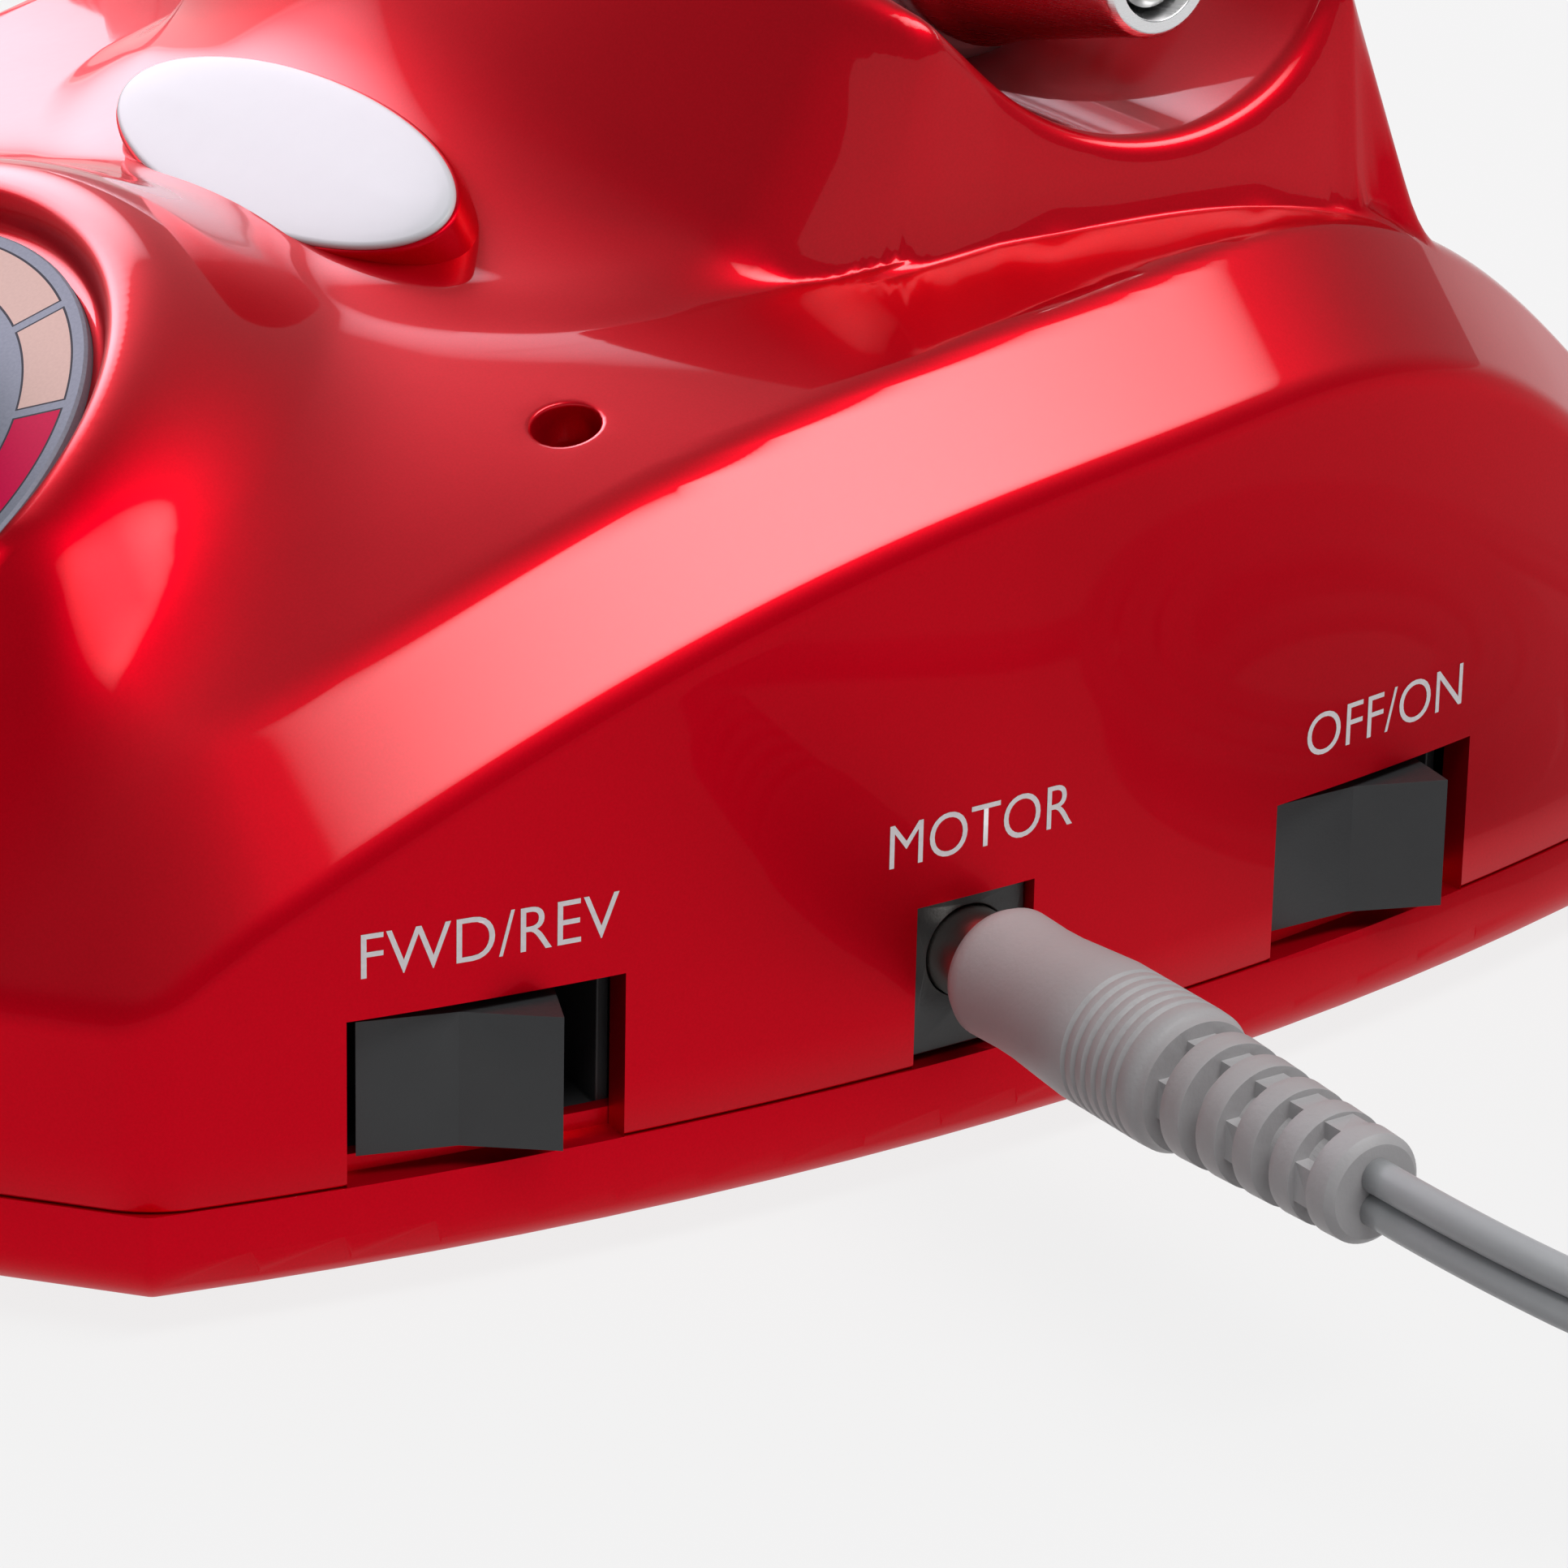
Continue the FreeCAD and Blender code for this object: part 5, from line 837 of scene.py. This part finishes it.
def dress(body, material, *nodes):
    """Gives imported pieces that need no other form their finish."""
    for node in nodes:
        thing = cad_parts[node]
        thing.data.materials.clear()
        thing.data.materials.append(material)


def eased(node, body, material, width=0.2, degrees=30.0, segments=3):
    """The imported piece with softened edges, in its finish."""
    thing = eased_copy(node, f"{node}_finished", width, degrees, segments)
    return finish_piece(thing, body, material, [node])


def hole_rim(faces, removed, points, centre_way):
    """The points on the edge between kept and removed faces, in order of their angle."""
    ring = np.intersect1d(faces[removed].ravel(), faces[~removed].ravel())
    angle = centre_way(points[ring])
    order = np.argsort(angle)
    return ring[order], angle[order]


def collar(base, ring, rows):
    """Quads that carry a ring of existing points through rows of new points; base is the first new index."""
    count = len(ring)
    index = np.concatenate([ring[None], base + np.arange(rows * count).reshape(rows, count)])
    after = np.roll(index, -1, 1)
    return np.stack([index[:-1], after[:-1], after[1:], index[1:]], -1).reshape(-1, 4)


def crater_collar(points, ring, angle):
    """Rows round the dial: over the deck to the ring's crest, then down its round edge and wall to the plate's seat.

    Each inner row lies a share of the way from the crest's height down to 0.88 mm under the plate's face.
    """
    way = (0, -math.sin(DIAL_LEAN), math.cos(DIAL_LEAN))
    axes = axes_of(way)
    local = (points[ring] - DIAL) @ axes
    start = np.stack([np.hypot(local[:, 0], local[:, 1]), local[:, 2]], -1)
    rows = []
    for share in (0.3, 0.6, 0.85, 1.0):
        radius = start[:, 0] * (1 - share) + 27.7 * share
        plan = DIAL + np.stack([radius * np.cos(angle), radius * np.sin(angle), np.full_like(radius, 1.6)], -1) @ axes.T
        plan[:, 2] = casing_height(plan[:, 0], plan[:, 1])
        flat = (plan - DIAL) @ axes
        flat[:, 2] = np.maximum(flat[:, 2], start[:, 1] * (1 - share) + 1.55 * share)
        rows.append(DIAL + flat @ axes.T)
    crest = flat[:, 2]
    for radius, share in ((27.4, 0.01), (27.1, 0.05), (26.85, 0.12), (26.6, 0.23), (26.38, 0.38), (26.18, 0.56),
                          (25.98, 0.74), (25.75, 0.88), (25.5, 0.95), (25.2, 0.985), (24.8, 1.0)):
        flat = np.stack([radius * np.cos(angle), radius * np.sin(angle), crest * (1 - share) - 0.88 * share], -1)
        rows.append(DIAL + flat @ axes.T)
    return np.stack(rows)


def lamp_collar(points, ring, angle):
    """Rows round the lamp's hole: along the deck to a small round edge, then down the hole."""
    axes = axes_of(LAMP_WAY)
    rows = []
    for radius, sunk in ((2.75, 0.0), (2.55, 0.015), (2.42, 0.07), (2.34, 0.17), (2.3, 0.34), (2.3, 1.6), (2.3, 4.0)):
        plan = LAMP + np.stack([radius * np.cos(angle), radius * np.sin(angle), np.zeros_like(angle)], -1) @ axes.T
        plan[:, 2] = casing_height(plan[:, 0], plan[:, 1])
        rows.append(plan - LAMP_WAY * sunk)
    return np.stack(rows)


def casing_shell():
    """The upper casing as one skin: deck, rounded outline, walls with their openings, crater and lamp hole.

    Its attribute lacquer rises smoothly from 0 to 1 where the normal's upward part goes from 0.45 to 0.72. It is at
    least 0.4 on the saddle, and only a tenth of that before the dial, within 42 mm of the dial's axis.
    """
    x, y = deck_grid()
    z = casing_height(x, y) - rounded_edge(x, y)
    rows, columns = x.shape
    points = np.stack([x, y, z], -1).reshape(-1, 3)
    faces = grid_faces(rows, columns)
    middle = points[faces].mean(1)
    dial_way = (0, -math.sin(DIAL_LEAN), math.cos(DIAL_LEAN))
    near_dial = (points - DIAL) @ axes_of(dial_way)
    in_crater = (np.hypot(near_dial[:, 0], near_dial[:, 1]) < 28.4)[faces].any(1)
    near_lamp = (points - LAMP) @ axes_of(LAMP_WAY)
    in_lamp = (np.hypot(near_lamp[:, 0], near_lamp[:, 1]) < 3.3)[faces].any(1)

    def turn_about(origin, way):
        return lambda spots: np.arctan2(*(((spots - origin) @ axes_of(way))[:, 1::-1].T))

    ring, angle = hole_rim(faces, in_crater, points, turn_about(DIAL, dial_way))
    crater = crater_collar(points, ring, angle)
    lamp_ring, lamp_angle = hole_rim(faces, in_lamp, points, turn_about(LAMP, LAMP_WAY))
    lamp = lamp_collar(points, lamp_ring, lamp_angle)

    index = np.arange(rows * columns).reshape(rows, columns)
    border = np.concatenate([index[:-1, -1], index[-1, :0:-1], index[:0:-1, 0], index[0, :-1]])
    edge = points[border]
    step = np.minimum(OPENING_TOP, edge[:, 2] - 0.25)
    levels = [edge[:, 2] + (step - edge[:, 2]) * share for share in (0.04, 0.35, 0.7, 1.0)]
    levels += [step + (SEAM + 0.35 - step) * share for share in (0.3, 0.65, 1.0)]
    wall = np.stack([np.stack([edge[:, 0], edge[:, 1], level], -1) for level in levels])
    lip = wall[-1].copy()
    lip[:, 2] = SEAM + 0.05
    lip[:, :2] *= 1 - 0.3 / np.linalg.norm(lip[:, :2], axis=1, keepdims=True)
    wall = np.concatenate([wall, lip[None]])

    kept = faces[~(in_crater | in_lamp)]
    base = len(points)
    crater_faces = collar(base, ring, len(crater))
    base += crater.size // 3
    lamp_faces = collar(base, lamp_ring, len(lamp))
    base += lamp.size // 3
    wall_faces = collar(base, border, len(wall))[:, ::-1]
    along = along_side(edge)
    between = (along + np.roll(along, -1)) / 2
    on_side = edge[:, 0] > 20.0
    open_column = np.zeros(len(border), bool)
    for spot, length in [(SWITCHES["reverse"], SWITCH_LENGTH), (SWITCHES["power"], SWITCH_LENGTH),
                         (JACK_ALONG, JACK_LENGTH)]:
        open_column |= on_side & (np.abs(between - spot) < length / 2)
    band = np.arange(len(wall))[:, None] >= 4
    wall_faces = wall_faces[~(band & open_column[None]).ravel()]
    points = np.concatenate([points, crater.reshape(-1, 3), lamp.reshape(-1, 3), wall.reshape(-1, 3)])
    thing = to_mesh("upper_casing_skin", points, np.concatenate([kept, crater_faces, lamp_faces, wall_faces]))
    up = np.empty(len(points) * 3, np.float32)
    thing.data.vertex_normals.foreach_get("vector", up)
    x, y = points[:, 0], points[:, 1]
    share = np.clip((up[2::3] - 0.45) / 0.27, 0, 1)
    share = np.maximum(share**2 * (3 - 2 * share), 0.4 * (inward(x, y) > 10.0) * (y > -20.0))
    reach = np.hypot(x, (y - DIAL[1]) / math.cos(DIAL_LEAN))
    share *= 1 - 0.9 * np.clip((42.0 - reach) / 6.0, 0, 1) * np.clip((-34.0 - y) / 8.0, 0, 1)
    thing.data.attributes.new("lacquer", "FLOAT", "POINT").data.foreach_set("value", share.astype(np.float32))
    return thing


def opening_edges():
    """Lengths along the side at which the openings begin and end."""
    return np.array([SWITCHES["reverse"] - 9.5, SWITCHES["reverse"] + 9.5, JACK_ALONG - 4.65, JACK_ALONG + 4.65,
                     SWITCHES["power"] - 9.5, SWITCHES["power"] + 9.5])


def opening_walls():
    """The cut edges of the side openings, 2.2 mm deep, each three strips on the side's arc."""
    blocks, faces, base = [], [], 0
    for start, end in opening_edges().reshape(-1, 2):
        deep = np.array([0.0, 0.12, WALL])
        path_along = np.concatenate([[start] * 4, np.linspace(start, end, 20)[1:-1], [end] * 4])
        rise = np.linspace(SEAM, OPENING_TOP, 4)
        path_z = np.concatenate([rise, [OPENING_TOP] * 18, rise[::-1]])
        x, y = side_point(path_along[None], deep[:, None])
        z = np.broadcast_to(path_z[None], x.shape)
        block = np.stack([x, y, z], -1)
        blocks.append(block.reshape(-1, 3))
        faces.append(grid_faces(*x.shape, flip=True) + base)
        base += x.size
    thing = to_mesh("opening_walls", np.concatenate(blocks), np.concatenate(faces))
    return smooth_by_angle(thing, 40)


def print_words(words, start, end, low, height, name):
    """Flat lettering laid on the right side, 0.03 mm proud: text width fits its stretch along the side."""
    curve = bpy.data.curves.new(name, "FONT")
    curve.body = words
    curve.size = 1.0
    curve.offset = -0.005
    curve.resolution_u = 6
    helper = bpy.data.objects.new(name, curve)
    bpy.context.scene.collection.objects.link(helper)
    mesh = bpy.data.meshes.new_from_object(helper)
    bpy.data.objects.remove(helper)
    co = np.empty(len(mesh.vertices) * 3)
    mesh.vertices.foreach_get("co", co)
    co = co.reshape(-1, 3)
    across = start + (co[:, 0] - co[:, 0].min()) / np.ptp(co[:, 0]) * (end - start)
    up = low + (co[:, 1] - co[:, 1].min()) / np.ptp(co[:, 1]) * height
    x, y = side_point(across, -0.03)
    mesh.vertices.foreach_set("co", (np.stack([x, y, up], -1) * MM).ravel())
    mesh.name = name
    mesh.update()
    thing = bpy.data.objects.new(name, mesh)
    bpy.context.scene.collection.objects.link(thing)
    return thing


def badge_form(name, half_length, half_width, sides):
    """An oval piece on the badge's axis: sides is a list of (inset, height) from the lower edge to the middle."""
    axes = axes_of((0, -math.sin(BADGE_LEAN), math.cos(BADGE_LEAN)))
    turn = np.linspace(0, 2 * math.pi, 160, endpoint=False)
    rows = []
    for inset, height in sides:
        a, b = half_length - inset, half_width - inset
        a, b = (a, b) if b > 0 else (half_length * (1 - inset / half_length), 1e-4)
        rows.append(np.stack([a * np.cos(turn), b * np.sin(turn), np.full_like(turn, height)], -1))
    return grid_object(name, BADGE + np.stack(rows) @ axes.T, close_columns=True)


# the handpiece's lead

MOTOR_RUN = [(100.949, 3.707, 15.9), (112.939, 3.236, 15.9), (125.5, 12.0, 11.5), (134.5, 28.0, 5.5),
             (136.0, 47.0, 2.0), (128.3, 63.0, 2.0), (128.3, 80.0, 2.0)]
HANDPIECE_RUN = [(79.0, 115.3, 6.5), (58.0, 111.0, 3.5), (32.0, 103.0, 2.0), (-2.0, 99.5, 2.0), (-38.0, 101.0, 2.0),
                 (-74.0, 97.0, 2.0), (-106.0, 88.0, 2.0), (-131.0, 72.0, 2.0), (-146.0, 54.0, 14.0),
                 (-147.0, 42.0, 38.0), (-137.0, 33.0, 60.0), (-121.1, 31.0, 73.8), (-106.1, 31.0, 73.8)]


def coil_run():
    """The coil's centreline: half turns about a moving centre, winding in at z 2 and out again at z 6.5.

    Each half turn spans from its last end to the next one; its points lie on the half circle between them, fifteen
    degrees apart, and the middle half turn climbs to the upper layer.
    """
    ends = [128.3, 65.7, 123.0, 71.0, 117.7, 76.3, 112.4, 81.6, 117.7, 76.3, 123.0, 71.0, 128.3]
    turn = np.linspace(0, math.pi, 13)[1:]
    blocks = [np.array([[128.3, 84.0, 2.0]])]
    for order, (start, end) in enumerate(zip(ends, ends[1:])):
        centre, radius = (start + end) / 2, abs(start - end) / 2
        side = 1.0 if start > end else -1.0
        climb = (turn / math.pi) * (3 - 2 * turn / math.pi) * turn / math.pi if order == 6 else 1.0 * (order > 6)
        height = 2.0 + 4.5 * climb * np.ones_like(turn)
        blocks.append(np.stack([centre + side * radius * np.cos(turn), 84.0 + side * radius * np.sin(turn), height], -1))
    last = np.linspace(0, math.pi / 2, 7)[1:]
    blocks.append(np.stack([97 + 31.3 * np.cos(last), 84 + 31.3 * np.sin(last), np.full(6, 6.5)], -1))
    return np.concatenate(blocks)


def spline_points(points, spacing=1.5):
    """Evenly spaced points of one open quadratic spline over the given points."""
    curve = bpy.data.curves.new("route", "CURVE")
    curve.dimensions = "3D"
    curve.resolution_u = 8
    line = curve.splines.new("NURBS")
    line.points.add(len(points) - 1)
    line.points.foreach_set("co", np.c_[points * MM, np.ones(len(points))].ravel())
    line.order_u = 3
    line.use_endpoint_u = True
    helper = bpy.data.objects.new("route", curve)
    bpy.context.scene.collection.objects.link(helper)
    mesh = bpy.data.meshes.new_from_object(helper)
    co = np.empty(len(mesh.vertices) * 3)
    mesh.vertices.foreach_get("co", co)
    bpy.data.objects.remove(helper)
    bpy.data.meshes.remove(mesh)
    co = co.reshape(-1, 3) / MM
    run = np.concatenate([[0.0], np.cumsum(np.linalg.norm(np.diff(co, axis=0), axis=1))])
    even = np.linspace(0, run[-1], int(run[-1] / spacing) + 1)
    return np.stack([np.interp(even, run, co[:, k]) for k in range(3)], -1), even


def twin_lead(wire):
    """Two round wires side by side along the lead's centreline, joined where they touch.

    Each ring of each wire is its centre plus radius times (cos a * across + sin a * over). Across stands upright at
    the plug and turns until it lies level on the floor, over the first 45 mm; over is square to it and the path.
    """
    route = np.concatenate([MOTOR_RUN[:-1], coil_run(), HANDPIECE_RUN])
    path, run = spline_points(route)
    way = np.gradient(path, axis=0)
    way /= np.linalg.norm(way, axis=1, keepdims=True)
    level = np.cross(way, (0.0, 0.0, 1.0))
    level /= np.linalg.norm(level, axis=1, keepdims=True)
    upright = np.cross(level, way)
    tilt = np.clip((run - 14.0) / 36.0, 0, 1)
    tilt = (tilt * tilt * (3 - 2 * tilt) * math.pi / 2)[:, None]
    across = np.cos(tilt) * upright + np.sin(tilt) * level
    over = np.cross(way, across)
    turn = np.linspace(0, 2 * math.pi, 16, endpoint=False)
    radius = wire / MM / 2
    parts, faces, base = [], [], 0
    for side in (-0.97, 0.97):
        centre = path + across * radius * side
        ring = np.cos(turn)[None, :, None] * across[:, None] + np.sin(turn)[None, :, None] * over[:, None]
        tube = centre[:, None] + ring * radius
        tube = np.concatenate([centre[:1, None] + 0 * tube[:1], tube, centre[-1:, None] + 0 * tube[-1:]])
        parts.append(tube.reshape(-1, 3))
        faces.append(grid_faces(len(tube), len(turn), close_columns=True) + base)
        base += tube.size // 3
    thing = to_mesh("handpiece_lead", np.concatenate(parts), np.concatenate(faces))
    uv = thing.data.uv_layers.new(name="UVMap")
    return welded(thing, 0.0005), path, run


class NAILDRILL_OT_cord(bpy.types.Operator):
    """The twin lead from the plug, through its coil behind the casing, to the handpiece."""

    bl_idname = "nail_drill.cord"
    bl_label = "Lead"

    def execute(self, context):
        sizes = context.scene.nail_drill_cord
        lead, path, run = twin_lead(sizes.wire)
        vinyl = moulded("lead_vinyl", (0.35, 0.365, 0.375), (0.44, 0.455, 0.465), 0.3, grain=0.5, depth=0.006)
        finish_piece(lead, "base", vinyl, ["motor_cord", "cord_coil", "handpiece_cord"])
        self.report({"INFO"}, f"lead {run[-1]:.0f} mm")
        path[0] * MM
        path * MM
        return {"FINISHED"}


class NAILDRILL_OT_casing(bpy.types.Operator):
    """The lacquered casing: upper and lower half, the openings' edges, feet and screws."""

    bl_idname = "nail_drill.casing"
    bl_label = "Casing"

    def execute(self, context):
        red = candy_red(context.scene.nail_drill_finish)
        finish_piece(casing_shell(), "base", red, ["upper_casing"])
        finish_piece(opening_walls(), "base", red)
        eased("lower_casing", "base", red, 0.3)
        rubber = moulded("foot_rubber", (0.012, 0.012, 0.013), (0.028, 0.028, 0.03), 0.7, depth=0.03)
        dress("base", rubber, "rubber_feet")
        dress("base", plain_metal("screw_steel", (0.55, 0.55, 0.56)), "casing_screws", "board_screws", "bracket_screws")
        return {"FINISHED"}


class NAILDRILL_OT_words(bpy.types.Operator):
    """The printed words over the openings: what each switch and the socket do."""

    bl_idname = "nail_drill.words"
    bl_label = "Printed words"

    def execute(self, context):
        ink = print_white()
        for words, start, end, low, name in (("FWD/REV", 13.85, 31.35, 22.95, "reverse_words"),
                                             ("MOTOR", 51.1, 65.6, 23.4, "socket_words"),
                                             ("OFF/ON", 86.2, 101.5, 22.9, "power_words")):
            finish_piece(print_words(words, start, end, low, 3.05, name), "base", ink)
        return {"FINISHED"}


class NAILDRILL_OT_dial(bpy.types.Operator):
    """The speed dial: printed plate, fluted knob and the potentiometer behind them."""

    bl_idname = "nail_drill.dial"
    bl_label = "Speed dial"

    def execute(self, context):
        dress("base", dial_face(context.scene.nail_drill_finish), "dial_plate")
        black = moulded("knob_black", (0.010, 0.010, 0.011), (0.020, 0.020, 0.022), 0.38, coat=0.15)
        eased("speed_knob", "knob", black, 0.25)
        nickel = plain_metal("dial_nickel", (0.72, 0.70, 0.66))
        dress("base", nickel, "pot_nut")
        dress("knob", nickel, "pot_shaft")
        dress("base", plain_metal("can_steel", (0.5, 0.5, 0.52)), "potentiometer")
        return {"FINISHED"}


class NAILDRILL_OT_badge(bpy.types.Operator):
    """The blank oval badge on its raised seat, and the pilot lamp."""

    bl_idname = "nail_drill.badge"
    bl_label = "Badge and lamp"

    def execute(self, context):
        seat = badge_form("badge_seat", 19.4, 6.8, [(0.0, -6.0), (0.0, -0.75), (0.07, -0.52), (0.22, -0.42), (0.6, -0.4),
                                                    (4.0, -0.4)])
        finish_piece(seat, "base", bpy.data.materials["candy_red"])
        plate = badge_form("badge_finished", 19.1, 6.5, [
            (0.12, -0.5), (0.0, -0.4), (0.0, -0.3), (0.05, -0.16), (0.18, -0.05), (0.45, 0.0), (1.5, 0.1), (3.5, 0.18),
            (5.5, 0.22), (6.4999, 0.23)])
        finish_piece(welded(plate), "base", white_lacquer(), ["badge_plate"])
        dress("base", lamp_red(), "pilot_lamp")
        return {"FINISHED"}


class NAILDRILL_OT_switches(bpy.types.Operator):
    """The two rocker switches with their housings."""

    bl_idname = "nail_drill.switches"
    bl_label = "Rocker switches"

    def execute(self, context):
        black = moulded("switch_black", (0.014, 0.015, 0.016), (0.030, 0.032, 0.034), 0.46, grain=0.2, depth=0.02)
        eased("reverse_rocker", "reverse_rocker", black, 0.3)
        eased("power_rocker", "power_rocker", black, 0.3)
        eased("reverse_switch_body", "base", black, 0.15)
        eased("power_switch_body", "base", black, 0.15)
        return {"FINISHED"}


class NAILDRILL_OT_plug(bpy.types.Operator):
    """The motor socket and the plug in it, with its slotted strain relief."""

    bl_idname = "nail_drill.plug"
    bl_label = "Motor plug"

    def execute(self, context):
        black = moulded("socket_black", (0.010, 0.010, 0.010), (0.020, 0.020, 0.021), 0.32, grain=0.25)
        eased("motor_jack", "base", black, 0.12)
        dress("base", turned_metal("plug_nickel", (0.7, 0.68, 0.64), (59.4, 5.3, 15.9), (0.9992, -0.0392, 0)),
              "jack_pin", "plug_barrel")
        vinyl = moulded("plug_vinyl", (0.36, 0.355, 0.36), (0.46, 0.455, 0.46), 0.42, grain=0.3, depth=0.02)
        eased("plug_overmould", "base", vinyl, 0.16)
        return {"FINISHED"}


class NAILDRILL_OT_rear(bpy.types.Operator):
    """The rear wall's mains inlet, fuse holder and pedal socket."""

    bl_idname = "nail_drill.rear"
    bl_label = "Rear fittings"

    def execute(self, context):
        black = moulded("fitting_black", (0.012, 0.012, 0.013), (0.026, 0.026, 0.028), 0.42, grain=0.25)
        for node in ("mains_inlet", "fuse_holder", "fuse_cap", "foot_pedal_jack"):
            eased(node, "base", black, 0.2)
        dress("base", plain_metal("pin_brass", (0.74, 0.58, 0.32)), "inlet_pins")
        dress("base", turned_metal("nut_nickel", (0.74, 0.72, 0.68), (28.0, 80.9, 16.5), (0.112, 0.9937, 0)),
              "pedal_jack_nut")
        return {"FINISHED"}


class NAILDRILL_OT_inside(bpy.types.Operator):
    """What the casing holds: circuit board with its parts, and the transformer."""

    bl_idname = "nail_drill.inside"
    bl_label = "Inside"

    def execute(self, context):
        dress("base", circuit_green(), "control_board")
        dress("base", moulded("capacitor_sleeve", (0.01, 0.012, 0.04), (0.02, 0.03, 0.08), 0.25, grain=1.0),
              "filter_capacitors")
        dress("base", plain_metal("sink_aluminium", (0.72, 0.73, 0.75)), "heat_sink")
        dress("base", moulded("transistor_black", (0.01, 0.01, 0.01), (0.03, 0.03, 0.03), 0.5), "power_transistor")
        dress("base", laminations(), "transformer_core")
        dress("base", winding_tape(), "transformer_winding")
        dress("base", plain_metal("bracket_steel", (0.6, 0.6, 0.58)), "transformer_bracket")
        return {"FINISHED"}


class NAILDRILL_OT_handpiece(bpy.types.Operator):
    """The handpiece: nose cone, lock ring, spindle, housing, rear cap and strain relief."""

    bl_idname = "nail_drill.handpiece"
    bl_label = "Handpiece"

    def execute(self, context):
        axis = ((43.6, 31.0, 73.8), (1.0, 0.0, 0.0))
        eased("nose_cone", "handpiece", turned_metal("nose_aluminium", (0.80, 0.80, 0.81), *axis, roughness=0.2),
              0.12)
        eased("lock_ring", "lock_ring", moulded("lock_grey", (0.30, 0.31, 0.33), (0.38, 0.39, 0.41), 0.3, coat=0.4),
              0.3)
        white = moulded("handpiece_white", (0.74, 0.74, 0.75), (0.82, 0.82, 0.83), 0.26, grain=0.3, depth=0.004, coat=0.6)
        eased("handpiece_housing", "handpiece", white, 0.2)
        eased("rear_cap", "handpiece", white, 0.3)
        grey = moulded("relief_vinyl", (0.36, 0.355, 0.36), (0.46, 0.455, 0.46), 0.42, grain=0.3, depth=0.02)
        eased("cord_relief", "handpiece", grey, 0.12)
        steel = turned_metal("spindle_steel", (0.76, 0.76, 0.75), *axis)
        dress("spindle", steel, "spindle")
        dress("handpiece", steel, "spindle_bearings")
        dress("handpiece", plain_metal("motor_can", (0.55, 0.55, 0.56)), "handpiece_motor")
        return {"FINISHED"}


class NAILDRILL_PT_panel(bpy.types.Panel):
    """The nail drill machine's settings and pieces."""

    bl_idname = "NAILDRILL_PT_panel"
    bl_label = "Nail drill"
    bl_space_type = "VIEW_3D"
    bl_region_type = "UI"
    bl_category = "Nail drill"

    def draw(self, context):
        layout = self.layout
        for settings in (context.scene.nail_drill_finish, context.scene.nail_drill_cord):
            for name in type(settings).__annotations__:
                layout.prop(settings, name)
        for operator in OPERATORS:
            layout.operator(operator.bl_idname)


OPERATORS = (NAILDRILL_OT_stage, NAILDRILL_OT_cord, NAILDRILL_OT_casing, NAILDRILL_OT_words, NAILDRILL_OT_dial,
             NAILDRILL_OT_badge, NAILDRILL_OT_switches, NAILDRILL_OT_plug, NAILDRILL_OT_rear, NAILDRILL_OT_inside,
             NAILDRILL_OT_handpiece)
CLASSES = (NailDrillFinish, NailDrillCord, *OPERATORS, NAILDRILL_PT_panel)


def register():
    """Registers the settings, operators and the panel."""
    for kind in CLASSES:
        bpy.utils.register_class(kind)
    bpy.types.Scene.nail_drill_finish = bpy.props.PointerProperty(type=NailDrillFinish)
    bpy.types.Scene.nail_drill_cord = bpy.props.PointerProperty(type=NailDrillCord)


def unregister():
    """Removes what register added."""
    del bpy.types.Scene.nail_drill_cord
    del bpy.types.Scene.nail_drill_finish
    for kind in reversed(CLASSES):
        bpy.utils.unregister_class(kind)


def main():
    """Builds the stage and every piece."""
    register()
    for operator in OPERATORS:
        group, name = operator.bl_idname.split(".")
        getattr(getattr(bpy.ops, group), name)()


if __name__ == "__main__":
    main()
